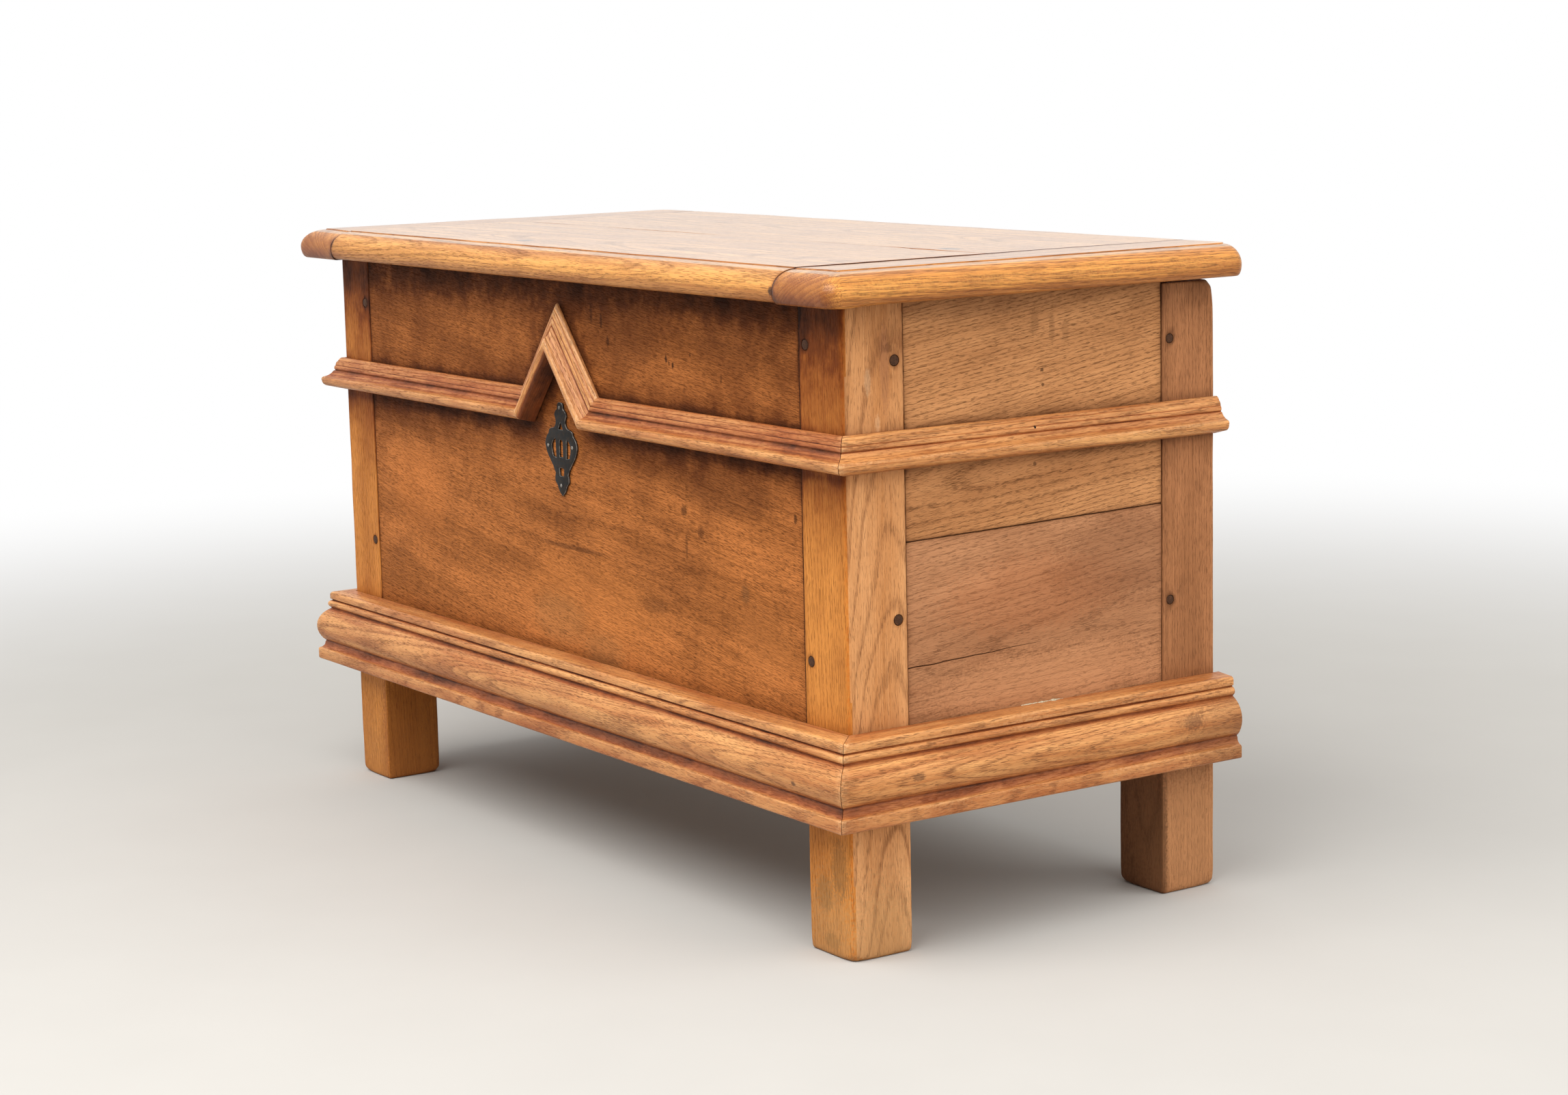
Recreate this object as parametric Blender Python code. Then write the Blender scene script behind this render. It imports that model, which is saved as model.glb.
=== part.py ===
"""Joined oak chest: corner posts, grooved-in boards, pegs, mouldings with a chevron, and a hinged lid.

Metres, +Z up. The front faces -Y. The origin is under the middle of the lid, on the floor.
"""

import math

import bmesh
import bpy
from mathutils import Matrix, Vector

# Clearance between pieces that touch
GAP = 0.0003

# Case
CASE_WIDTH = 0.900
CASE_DEPTH = 0.398
LID_UNDERSIDE = 0.546
POST = 0.061
POST_ROUND = 0.004
POST_INNER_CHAMFER = 0.006
FOOT_CHAMFER = 0.004
REAR_POST_ROUND = 0.008
BOARD = 0.022
BOARD_SETBACK = 0.0006
WALL_BOTTOM = 0.132
LOWER_BOARD = 0.216

# Tongues that hold the boards in the posts and to each other
TONGUE = 0.010
TONGUE_REACH = 0.020
EDGE_TONGUE = 0.006
EDGE_TONGUE_REACH = 0.008

# Floor
FLOOR_TOP = 0.178
FLOOR = 0.018
FLOOR_BOARDS = 3
LEDGE = 0.024

# Pegs through posts and tongues, each bored by hand at its own height:
# the upper one so far below the lid, the lower one so far above the base moulding
PEG = 0.009
PEG_TIP = 0.0072
PEG_LENGTH = 0.038
PEG_FROM_POST_EDGE = 0.009
PEG_SIDES = 10
FRONT_PEGS_LEFT = (0.046, 0.0605)
FRONT_PEGS_RIGHT = (0.036, 0.0535)
SIDE_PEGS_FRONT = (0.049, 0.0895)
SIDE_PEGS_REAR = (0.052, 0.0715)
BACK_PEGS = (0.046, 0.0665)

# Mouldings are stacks of members from the underside up. Each has its height, how far its top stands
# out from the wall, and how far its face bows out as an arc: hollow where that is negative.

# Middle moulding and its chevron
MID_BELOW_LID = 0.106
MID_MEMBERS = [
    (0.0036, 0.0144, 0),  # soffit
    (0.0053, 0.0185, 0.0012),  # lower half of the nose
    (0.0040, 0.0174, 0.0008),  # upper half of the nose
    (0.0064, 0.0092, -0.0012),  # cove
    (0.0005, 0.0076, 0),  # quirk
    (0.0013, 0.0085, 0),  # edge of the ovolo
    (0.0119, 0.0026, 0.0014),  # ovolo
]
CHEVRON_HALF_WIDTH = 0.068
CHEVRON_RISE = 0.0815

# Base moulding, whose ends run a little past the back of the case
BASE_BOTTOM = 0.120
BASE_MEMBERS = [
    (0, 0.0286, 0),  # underside
    (0.0021, 0.0308, 0.0006),  # eased edge of the fillet
    (0.0088, 0.0308, 0),  # fillet
    (0.0011, 0.0299, 0),  # edge of the cove
    (0.0061, 0.0253, -0.0014),  # cove
    (0.0018, 0.0243, 0),  # quirk
    (0.0018, 0.0265, 0),  # edge of the torus
    (0.0314, 0.0213, 0.0072),  # torus
    (0.0014, 0.0191, 0),  # groove below the bead
    (0.0011, 0.0197, 0),  # edge of the bead
    (0.0072, 0.0188, 0.0026),  # bead
    (0.0007, 0.0179, 0),  # groove above the bead
    (0.0011, 0.0200, 0),  # edge of the cap
    (0.0043, 0.0200, 0),  # cap
    (0.0032, 0.0169, 0.0008),  # round over the cap
    (0.0014, 0.0004, 0),  # sloped top
]
BASE_PAST_BACK = 0.004

# Length left on a run before its mitres are cut, in moulding heights
MITRE_SPARE = 4

# Lid
LID = 0.028
LID_OVERHANG = 0.034
LID_BACK_OVERHANG = 0.006
LID_CORNER = 0.015
LID_BACK_CORNER = 0.010
LID_END = 0.082
LID_NOSE = 0.010
LID_UNDERCUT = 0.006
LID_THUMBNAIL = 0.023
LID_QUIRK = 0.0015
LID_TONGUE = 0.010
LID_TONGUE_REACH = 0.026
LID_TONGUE_STOP = 0.045

# Hinges
HINGE_LENGTH = 0.066
HINGE_FROM_END = 0.180
LEAF = 0.0015
LEAF_SPACING = 0.0004
LEAF_WIDTH = 0.020
KNUCKLE = 0.008
KNUCKLE_CLEARANCE = 0.0005
PIN = 0.004
PIN_HEAD = 0.0006

# Escutcheon
ESCUTCHEON_X = -0.003
ESCUTCHEON_BELOW_MID = 0.0646
ESCUTCHEON = 0.0018
# Half of its outline from the lower tip up, as (half width, height, bow to the next corner)
ESCUTCHEON_EDGE = [
    (0.0000, 0.0000, 0.0012),
    (0.0080, 0.0090, 0),
    (0.0122, 0.0130, 0.0008),
    (0.0112, 0.0205, -0.0006),
    (0.0210, 0.0330, 0.0012),
    (0.0290, 0.0465, 0.0012),
    (0.0240, 0.0560, -0.0006),
    (0.0215, 0.0605, 0.0006),
    (0.0130, 0.0630, -0.0012),
    (0.0084, 0.0695, -0.0004),
    (0.0108, 0.0750, 0.0010),
    (0.0058, 0.0808, -0.0003),
    (0.0050, 0.0846, 0.0012),
    (0.0000, 0.0871, 0),
]
# Its piercings as (across, height, bow to the next corner); the outer slot is mirrored
MIDDLE_SLOT = [(-0.0031, 0.0362, 0), (0.0031, 0.0362, 0), (0.0031, 0.0505, 0.0022), (-0.0031, 0.0505, 0)]
OUTER_SLOT = [(0.0090, 0.0352, 0), (0.0148, 0.0362, 0.0008), (0.0172, 0.0470, 0.0012), (0.0100, 0.0535, 0)]
UPPER_WINDOW = [(-0.0042, 0.0620, 0), (0.0042, 0.0620, 0.0004), (0.0000, 0.0688, 0.0004)]
LOWER_WINDOW = [(-0.0036, 0.0185, 0), (0.0036, 0.0185, 0), (0.0046, 0.0254, 0.0010), (-0.0046, 0.0254, 0)]

# Smoothness of round work
ARC_STEP = math.radians(22)
ROUND_SIDES = 20
CORNER_STEPS = 5
POST_ROUND_STEPS = 3
REAR_POST_ROUND_STEPS = 4
LID_UNDERCUT_STEPS = 4
LID_THUMBNAIL_STEPS = 9

# Colours: red, green, blue
POST_OAK = (0.50, 0.22, 0.07)
PANEL_OAK = (0.33, 0.13, 0.04)
MOULDING_OAK = (0.46, 0.19, 0.06)
LID_OAK = (0.52, 0.25, 0.09)
INNER_OAK = (0.36, 0.20, 0.09)
PEG_OAK = (0.10, 0.05, 0.02)
IRON = (0.03, 0.03, 0.03)

# Roughness of the surfaces
WAXED_ROUGHNESS = 0.45
POLISHED_ROUGHNESS = 0.35
SAWN_ROUGHNESS = 0.60
FORGED_ROUGHNESS = 0.50

# Places that follow from the sizes above
DEPTH_OVER_ALL = LID_OVERHANG + CASE_DEPTH + LID_BACK_OVERHANG
LID_FRONT = -DEPTH_OVER_ALL / 2
LID_BACK = DEPTH_OVER_ALL / 2
FRONT = LID_FRONT + LID_OVERHANG
BACK = FRONT + CASE_DEPTH
SIDE = CASE_WIDTH / 2
POST_INSIDE_X = SIDE - POST
POST_INSIDE_FRONT = FRONT + POST
POST_INSIDE_BACK = BACK - POST
WALL_INSIDE_X = SIDE - BOARD_SETBACK - BOARD
WALL_INSIDE_FRONT = FRONT + BOARD_SETBACK + BOARD
WALL_INSIDE_BACK = BACK - BOARD_SETBACK - BOARD
FRONT_TOP = LID_UNDERSIDE - GAP
HINGE_STACK = 2 * LEAF + 2 * GAP + LEAF_SPACING
REAR_TOP = LID_UNDERSIDE - HINGE_STACK
HINGE_Z = LID_UNDERSIDE - HINGE_STACK / 2
LID_HALF_WIDTH = SIDE + LID_OVERHANG
LID_SEAM = LID_HALF_WIDTH - LID_END
LID_MIDDLE = (LID_FRONT + LID_BACK) / 2
WALL_JOINT = WALL_BOTTOM + LOWER_BOARD
MID_TOP = LID_UNDERSIDE - MID_BELOW_LID
MID_BOTTOM = MID_TOP - sum(height for height, out, bow in MID_MEMBERS)
BASE_TOP = BASE_BOTTOM + sum(height for height, out, bow in BASE_MEMBERS)
ESCUTCHEON_BOTTOM = MID_BOTTOM - ESCUTCHEON_BELOW_MID
FACES = {"front": (FRONT, -1), "back": (BACK, 1)}
HANDS = {"left": -1, "right": 1}


def clear_scene():
    for obj in list(bpy.data.objects):
        bpy.data.objects.remove(obj)


def new_collection(name):
    collection = bpy.data.collections.new(name)
    bpy.context.scene.collection.children.link(collection)
    return collection


def finish(obj, colour, roughness=WAXED_ROUGHNESS, metallic=0.0):
    """Give the object its own material."""
    material = bpy.data.materials.new(obj.name)
    material.use_nodes = True
    shader = material.node_tree.nodes["Principled BSDF"]
    shader.inputs["Base Color"].default_value = (*colour, 1.0)
    shader.inputs["Roughness"].default_value = roughness
    shader.inputs["Metallic"].default_value = metallic
    material.diffuse_color = (*colour, 1.0)
    obj.data.materials.append(material)
    return obj


def mesh_object(name, bm, collection):
    """Turn a bmesh into a linked object. Cutters are helpers and stay out of renders."""
    bmesh.ops.recalc_face_normals(bm, faces=bm.faces)
    mesh = bpy.data.meshes.new(name)
    bm.to_mesh(mesh)
    bm.free()
    obj = bpy.data.objects.new(name, mesh)
    collection.objects.link(obj)
    if collection is CUTTERS:
        obj.hide_render = True
        obj.display_type = "WIRE"
    return obj


def add_box(bm, low, high):
    size = [b - a for a, b in zip(low, high)]
    middle = [(a + b) / 2 for a, b in zip(low, high)]
    matrix = Matrix.Translation(middle) @ Matrix.Diagonal((*size, 1.0))
    return bmesh.ops.create_cube(bm, size=1.0, matrix=matrix)["verts"]


def add_rod(bm, start, direction, length, radius, tip_radius=None, sides=ROUND_SIDES):
    """A round or tapered rod from start along direction."""
    direction = Vector(direction)
    middle = Vector(start) + direction * (length / 2)
    turn = direction.to_track_quat("Z", "Y").to_matrix().to_4x4()
    bmesh.ops.create_cone(
        bm,
        cap_ends=True,
        segments=sides,
        radius1=radius,
        radius2=radius if tip_radius is None else tip_radius,
        depth=length,
        matrix=Matrix.Translation(middle) @ turn,
    )


def box(name, low, high, collection=None):
    bm = bmesh.new()
    add_box(bm, low, high)
    return mesh_object(name, bm, collection or PARTS)


def cutter_of_boxes(name, boxes):
    bm = bmesh.new()
    for low, high in boxes:
        add_box(bm, low, high)
    return mesh_object(name, bm, CUTTERS)


def boolean(obj, other, operation):
    modifier = obj.modifiers.new(other.name, "BOOLEAN")
    modifier.operation = operation
    modifier.solver = "EXACT"
    modifier.object = other


def cut(obj, other):
    boolean(obj, other, "DIFFERENCE")


def join(obj, other):
    boolean(obj, other, "UNION")


def with_arcs(corners):
    """Points of an outline from (across, up, bow) corners: bow is how far the stretch to the next
    corner bows out to its right as an arc, and 0 is a straight stretch."""
    points = []
    for here, following in zip(corners, corners[1:] + corners[:1]):
        start = Vector(here[:2])
        end = Vector(following[:2])
        points.append(start)
        bow = here[2]
        if bow == 0:
            continue
        chord = end - start
        half = chord.length / 2
        sweep = 4 * math.atan(abs(bow) / half)
        steps = max(2, round(sweep / ARC_STEP))
        radius = half / math.sin(sweep / 2)
        right = Vector((chord.y, -chord.x)).normalized() * math.copysign(1, bow)
        centre = (start + end) / 2 - right * (radius - abs(bow))
        for step in range(1, steps):
            angle = sweep * (step / steps - 0.5)
            spoke = right * math.cos(angle) + chord.normalized() * math.sin(angle)
            points.append(centre + spoke * radius)
    return points


def extruded(name, outlines, thickness, matrix, collection=None):
    """Fill 2D outlines, the first with the others as holes, and give them a thickness about their plane."""
    curve = bpy.data.curves.new(name, "CURVE")
    curve.dimensions = "2D"
    curve.fill_mode = "BOTH"
    curve.extrude = thickness / 2
    for points in outlines:
        spline = curve.splines.new("POLY")
        spline.points.add(len(points) - 1)
        for point, place in zip(spline.points, points):
            point.co = (place[0], place[1], 0.0, 1.0)
        spline.use_cyclic_u = True
    drawn = bpy.data.objects.new(name + "_outline", curve)
    CUTTERS.objects.link(drawn)
    bpy.context.view_layer.update()
    graph = bpy.context.evaluated_depsgraph_get()
    mesh = bpy.data.meshes.new_from_object(drawn.evaluated_get(graph))
    bpy.data.objects.remove(drawn)
    bm = bmesh.new()
    bm.from_mesh(mesh)
    bpy.data.meshes.remove(mesh)
    bmesh.ops.remove_doubles(bm, verts=bm.verts, dist=GAP / 30)
    obj = mesh_object(name, bm, collection or PARTS)
    obj.matrix_world = matrix
    return obj


def trim(bm, point, normal):
    """Cut the mesh on a plane, drop the side that the normal points to, and close the cut."""
    geometry = bm.verts[:] + bm.edges[:] + bm.faces[:]
    made = bmesh.ops.bisect_plane(bm, geom=geometry, plane_co=point, plane_no=normal, clear_outer=True)
    edges = [piece for piece in made["geom_cut"] if isinstance(piece, bmesh.types.BMEdge)]
    bmesh.ops.edgeloop_fill(bm, edges=edges)


def trim_object(obj, point, normal):
    """Trim in the object's own axes."""
    bm = bmesh.new()
    bm.from_mesh(obj.data)
    trim(bm, point, normal)
    bmesh.ops.recalc_face_normals(bm, faces=bm.faces)
    bm.to_mesh(obj.data)
    bm.free()


# Posts and pegs

def edges_where(bm, test):
    return [edge for edge in bm.edges if all(test(vert.co) for vert in edge.verts)]


def ease(bm, test, offset, segments):
    bmesh.ops.bevel(
        bm, geom=edges_where(bm, test), offset=offset, segments=segments, profile=0.5, affect="EDGES"
    )


def near(a, b):
    return abs(a - b) < GAP / 10


def post(name, side, end):
    """A square post that is also the foot. Rear posts stop below the hinges and round over at the back."""
    outer_x = side * SIDE
    inner_x = side * POST_INSIDE_X
    outer_y, out = FACES[end]
    inner_y = outer_y - out * POST
    top = FRONT_TOP if end == "front" else REAR_TOP
    bm = bmesh.new()
    add_box(
        bm,
        (min(outer_x, inner_x), min(outer_y, inner_y), 0),
        (max(outer_x, inner_x), max(outer_y, inner_y), top),
    )
    if end == "front":
        ease(bm, lambda p: near(p.x, outer_x) and near(p.y, outer_y), POST_ROUND, POST_ROUND_STEPS)
    else:
        ease(bm, lambda p: near(p.y, outer_y) and near(p.z, top), REAR_POST_ROUND, REAR_POST_ROUND_STEPS)
    ease(bm, lambda p: near(p.x, inner_x) and near(p.y, inner_y), POST_INNER_CHAMFER, 1)
    ease(bm, lambda p: near(p.z, 0), FOOT_CHAMFER, 1)
    obj = finish(mesh_object(name, bm, PARTS), POST_OAK)
    cut(obj, post_grooves(name, side, end))
    return obj


def post_grooves(name, side, end):
    """The two grooves that take the tongues of the boards beside this post."""
    outer_y, out = FACES[end]
    deep = TONGUE_REACH + GAP
    near_face = BOARD_SETBACK + (BOARD - TONGUE) / 2 - GAP
    far_face = near_face + TONGUE + 2 * GAP
    bottom = WALL_BOTTOM - GAP
    top = LID_UNDERSIDE + GAP
    x_range = sorted((side * (POST_INSIDE_X - GAP), side * (POST_INSIDE_X + deep)))
    y_range = sorted((outer_y - out * near_face, outer_y - out * far_face))
    long_wall = ((x_range[0], y_range[0], bottom), (x_range[1], y_range[1], top))
    x_range = sorted((side * (SIDE - near_face), side * (SIDE - far_face)))
    y_range = sorted((outer_y - out * (POST + GAP), outer_y - out * (POST - deep)))
    short_wall = ((x_range[0], y_range[0], bottom), (x_range[1], y_range[1], top))
    return cutter_of_boxes(name + "_grooves", (long_wall, short_wall))


def peg_places(side, end):
    """Level and height of the pegs on the long face and on the end face of one post."""
    long_face = BACK_PEGS
    short_face = SIDE_PEGS_REAR
    if end == "front":
        long_face = FRONT_PEGS_RIGHT if side > 0 else FRONT_PEGS_LEFT
        short_face = SIDE_PEGS_FRONT
    for below_lid, above_base in (long_face, short_face):
        yield (("upper", LID_UNDERSIDE - below_lid), ("lower", BASE_TOP + above_base))


def pegs_of(name, side, end):
    """Make the four pegs of a post, and return a cutter that bores for them."""
    outer_y, out = FACES[end]
    across = PEG_FROM_POST_EDGE
    long_pegs, short_pegs = peg_places(side, end)
    bores = bmesh.new()
    seats = []
    for level, height in long_pegs:
        start = Vector((side * (POST_INSIDE_X + across), outer_y, height))
        seats.append((end, level, start, Vector((0, -out, 0))))
    for level, height in short_pegs:
        start = Vector((side * SIDE, outer_y - out * (POST - across), height))
        seats.append(("end", level, start, Vector((-side, 0, 0))))
    for face, level, start, inward in seats:
        bm = bmesh.new()
        add_rod(bm, start, inward, PEG_LENGTH, PEG / 2, PEG_TIP / 2, PEG_SIDES)
        finish(mesh_object(f"{name}_{face}_{level}_peg", bm, PARTS), PEG_OAK)
        add_rod(bores, start - inward * GAP, inward, PEG_LENGTH + 2 * GAP, PEG / 2 + GAP)
    return mesh_object(name + "_bores", bores, CUTTERS)


def frame():
    """Four posts with their pegs. Returns the bore cutters, which the boards share."""
    bores = {}
    for end in FACES:
        for hand, side in HANDS.items():
            name = f"{'front' if end == 'front' else 'rear'}_{hand}_post"
            obj = post(name, side, end)
            bores[end, side] = pegs_of(name, side, end)
            cut(obj, bores[end, side])
    return bores


# Walls

def wall_board(name, low, high, tongue_axis, colour):
    """A board between two posts, with a tongue at each end along the given axis."""
    obj = finish(box(name, low, high), colour)
    thick_axis = 1 - tongue_axis
    tongue_low = list(low)
    tongue_high = list(high)
    tongue_low[tongue_axis] -= TONGUE_REACH
    tongue_high[tongue_axis] += TONGUE_REACH
    tongue_low[thick_axis] += (BOARD - TONGUE) / 2
    tongue_high[thick_axis] -= (BOARD - TONGUE) / 2
    join(obj, box(name + "_tongue", tongue_low, tongue_high, CUTTERS))
    return obj


def edge_joint(lower, upper, low, high, thick_axis):
    """A tongue along the top of the lower board and its groove in the upper one."""
    bottom = list(low)
    top = list(high)
    bottom[thick_axis] += (BOARD - EDGE_TONGUE) / 2
    top[thick_axis] -= (BOARD - EDGE_TONGUE) / 2
    bottom[2] = WALL_JOINT - EDGE_TONGUE_REACH
    top[2] = WALL_JOINT + EDGE_TONGUE_REACH
    join(lower, box(lower.name + "_edge", bottom, top, CUTTERS))
    run_axis = 1 - thick_axis
    bottom[run_axis] -= 2 * TONGUE_REACH
    top[run_axis] += 2 * TONGUE_REACH
    bottom[thick_axis] -= GAP
    top[thick_axis] += GAP
    top[2] += GAP
    cut(upper, box(upper.name + "_edge", bottom, top, CUTTERS))


def jointed_wall(name, low, high, tongue_axis, bores):
    """A wall of two boards that meet at the joint height."""
    lower = wall_board(
        f"{name}_lower_board", low, (*high[:2], WALL_JOINT - GAP / 2), tongue_axis, PANEL_OAK
    )
    upper = wall_board(
        f"{name}_upper_board", (*low[:2], WALL_JOINT + GAP / 2), high, tongue_axis, PANEL_OAK
    )
    edge_joint(lower, upper, low, high, 1 - tongue_axis)
    for board in (lower, upper):
        for cutter in bores:
            cut(board, cutter)
    return upper


def slope_top(board):
    """Plane the top of an end wall down to the back, from under the lid to the rear posts' height."""
    fall = Vector((0, POST_INSIDE_BACK - POST_INSIDE_FRONT, REAR_TOP - FRONT_TOP))
    normal = Vector((0, -fall.z, fall.y)).normalized()
    low = (-LID_HALF_WIDTH, FRONT, WALL_JOINT)
    high = (LID_HALF_WIDTH, BACK, LID_UNDERSIDE + LID)
    cutter = box(board.name + "_slope", low, high, CUTTERS)
    trim_object(cutter, Vector((0, POST_INSIDE_FRONT, FRONT_TOP)), -normal)
    cut(board, cutter)


def walls(bores):
    reach_x = POST_INSIDE_X - GAP
    front = wall_board(
        "front_board",
        (-reach_x, FRONT + BOARD_SETBACK, WALL_BOTTOM),
        (reach_x, WALL_INSIDE_FRONT, FRONT_TOP),
        0,
        PANEL_OAK,
    )
    for side in HANDS.values():
        cut(front, bores["front", side])
    back = jointed_wall(
        "back",
        (-reach_x, WALL_INSIDE_BACK, WALL_BOTTOM),
        (reach_x, BACK - BOARD_SETBACK, REAR_TOP),
        0,
        [bores["back", -1], bores["back", 1]],
    )
    for hand, side in HANDS.items():
        x_range = sorted((side * (SIDE - BOARD_SETBACK), side * WALL_INSIDE_X))
        upper = jointed_wall(
            f"{hand}_end",
            (x_range[0], POST_INSIDE_FRONT + GAP, WALL_BOTTOM),
            (x_range[1], POST_INSIDE_BACK - GAP, FRONT_TOP),
            1,
            [bores["front", side], bores["back", side]],
        )
        slope_top(upper)
    return back


# Floor

def floor():
    """Ledges nailed round the walls, and boards laid on them and notched round the posts."""
    high = FLOOR_TOP - FLOOR - GAP
    low = high - LEDGE
    x_inside = WALL_INSIDE_X - GAP
    x_posts = POST_INSIDE_X - GAP
    y_front = WALL_INSIDE_FRONT + GAP
    y_back = WALL_INSIDE_BACK - GAP
    post_front = POST_INSIDE_FRONT + GAP
    post_back = POST_INSIDE_BACK - GAP
    ledges = {
        "front": ((-x_posts, y_front, low), (x_posts, y_front + LEDGE, high)),
        "back": ((-x_posts, y_back - LEDGE, low), (x_posts, y_back, high)),
        "left": ((-x_inside, post_front, low), (LEDGE - x_inside, post_back, high)),
        "right": ((x_inside - LEDGE, post_front, low), (x_inside, post_back, high)),
    }
    for wall, (near_corner, far_corner) in ledges.items():
        finish(box(f"{wall}_floor_ledge", near_corner, far_corner), INNER_OAK, SAWN_ROUGHNESS)
    notch = POST + GAP
    notches = []
    for side in HANDS.values():
        x_range = sorted((side * SIDE, side * (SIDE - notch)))
        for outer_y, out in FACES.values():
            y_range = sorted((outer_y, outer_y - out * notch))
            notches.append(((x_range[0], y_range[0], 0), (x_range[1], y_range[1], LID_UNDERSIDE)))
    width = (y_back - y_front) / FLOOR_BOARDS
    for index in range(FLOOR_BOARDS):
        low_y = y_front + index * width + (GAP / 2 if index else 0)
        high_y = y_front + (index + 1) * width - (GAP / 2 if index < FLOOR_BOARDS - 1 else 0)
        board = box(
            f"floor_board_{index + 1}", (-x_inside, low_y, FLOOR_TOP - FLOOR), (x_inside, high_y, FLOOR_TOP)
        )
        finish(board, INNER_OAK, SAWN_ROUGHNESS)
        if low_y < POST_INSIDE_FRONT or high_y > POST_INSIDE_BACK:
            cut(board, cutter_of_boxes(board.name + "_notches", notches))


# Mouldings

def profile_of(members):
    """Outline of a stack of members, as (out, up) from the wall and the moulding's underside."""
    corners = []
    out = 0
    up = 0
    for height, top_out, bow in members:
        corners.append((out, up, bow))
        out = top_out
        up += height
    corners.append((out, up, 0))
    corners.append((0, up, 0))
    return with_arcs(corners)


def moulding(name, members, start, out, up, length, start_slope, end_slope):
    """A run of moulding from start along out x up. Start and length are those of the top edge at the wall.
    A slope (per_out, per_up) leans that end's cut, so that it makes a mitre with the next run."""
    out = Vector(out)
    up = Vector(up)
    along = out.cross(up)
    height = sum(member[0] for member in members)
    spare = MITRE_SPARE * height
    axes = Matrix((out, up, along)).transposed().to_4x4()
    middle = Vector(start) - up * height + along * (length / 2) + out * GAP
    run = extruded(name, [profile_of(members)], length + 2 * spare, Matrix.Translation(middle) @ axes)
    for direction, slope in ((-1, start_slope), (1, end_slope)):
        normal = Vector((-slope[0], -slope[1], direction))
        reach = length / 2 - GAP / 2 * normal.length
        trim_object(run, Vector((0, height, direction * reach)), normal.normalized())
    return finish(run, MOULDING_OAK)


def end_runs(name, members, top, past_back):
    """The two runs along the ends of the case, mitred at the front and square at the back."""
    square = (0, 0)
    corner = (1, 0)
    upright = (0, 0, 1)
    length = CASE_DEPTH + past_back
    rear = (SIDE, BACK + past_back, top)
    moulding(f"{name}_right", members, rear, (1, 0, 0), upright, length, square, corner)
    fore = (-SIDE, FRONT, top)
    moulding(f"{name}_left", members, fore, (-1, 0, 0), upright, length, corner, square)


def mouldings():
    """Runs go from the rear right corner to the front, across it to the left, and to the rear left corner."""
    to_front = (0, -1, 0)
    upright = (0, 0, 1)
    corner = (1, 0)
    end_runs("base_moulding", BASE_MEMBERS, BASE_TOP, BASE_PAST_BACK)
    right = (SIDE, FRONT, BASE_TOP)
    moulding("base_moulding_front", BASE_MEMBERS, right, to_front, upright, CASE_WIDTH, corner, corner)
    end_runs("middle_moulding", MID_MEMBERS, MID_TOP, 0)
    lean = math.atan2(CHEVRON_RISE, CHEVRON_HALF_WIDTH)
    leg = math.hypot(CHEVRON_RISE, CHEVRON_HALF_WIDTH)
    foot = (0, -math.tan(lean / 2))
    apex = (0, math.tan(lean))
    half = CHEVRON_HALF_WIDTH
    straight = SIDE - half
    lean_right = (math.sin(lean), 0, math.cos(lean))
    lean_left = (-math.sin(lean), 0, math.cos(lean))
    for name, x, z, up, length, start_slope, end_slope in (
        ("middle_moulding_front_right", SIDE, MID_TOP, upright, straight, corner, foot),
        ("chevron_right", half, MID_TOP, lean_right, leg, foot, apex),
        ("chevron_left", 0, MID_TOP + CHEVRON_RISE, lean_left, leg, apex, foot),
        ("middle_moulding_front_left", -half, MID_TOP, upright, straight, foot, corner),
    ):
        moulding(name, MID_MEMBERS, (x, FRONT, z), to_front, up, length, start_slope, end_slope)


# Lid

def corner_arc(centre_x, centre_y, radius, start_degrees):
    for step in range(CORNER_STEPS + 1):
        angle = math.radians(start_degrees + 90 * step / CORNER_STEPS)
        yield centre_x + radius * math.cos(angle), centre_y + radius * math.sin(angle)


def lid_section(bm, inset, height):
    """One level of the lid: moulded edges step in by inset, the back edge stays upright."""
    half = LID_HALF_WIDTH - inset
    front = LID_FRONT + inset
    radius = max(LID_CORNER - inset, GAP)
    back_radius = LID_BACK_CORNER
    places = [
        *corner_arc(-half + radius, front + radius, radius, 180),
        *corner_arc(half - radius, front + radius, radius, 270),
        *corner_arc(half - back_radius, LID_BACK - back_radius, back_radius, 0),
        *corner_arc(-half + back_radius, LID_BACK - back_radius, back_radius, 90),
    ]
    verts = [bm.verts.new((x, y, LID_UNDERSIDE + height)) for x, y in places]
    return [bm.edges.new((a, b)) for a, b in zip(verts, verts[1:] + verts[:1])]


def lid_levels():
    """(inset, height) up the thumbnail edge: round under the nose, a long round over it, then a quirk."""
    for step in range(LID_UNDERCUT_STEPS):
        angle = math.pi / 2 * step / LID_UNDERCUT_STEPS
        yield LID_UNDERCUT * (1 - math.sin(angle)), LID_NOSE * (1 - math.cos(angle))
    over = LID - LID_QUIRK - LID_NOSE
    for step in range(LID_THUMBNAIL_STEPS + 1):
        angle = math.pi / 2 * step / LID_THUMBNAIL_STEPS
        yield LID_THUMBNAIL * (1 - math.cos(angle)), LID_NOSE + over * math.sin(angle)
    yield LID_THUMBNAIL + GAP, LID


def lid_blank():
    """The whole lid as one moulded slab, lofted level by level."""
    bm = bmesh.new()
    levels = [lid_section(bm, inset, height) for inset, height in lid_levels()]
    for lower, upper in zip(levels, levels[1:]):
        bmesh.ops.bridge_loops(bm, edges=lower + upper)
    for loop in (levels[0], levels[-1]):
        bmesh.ops.edgeloop_fill(bm, edges=loop)
    bmesh.ops.recalc_face_normals(bm, faces=bm.faces)
    return bm


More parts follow.
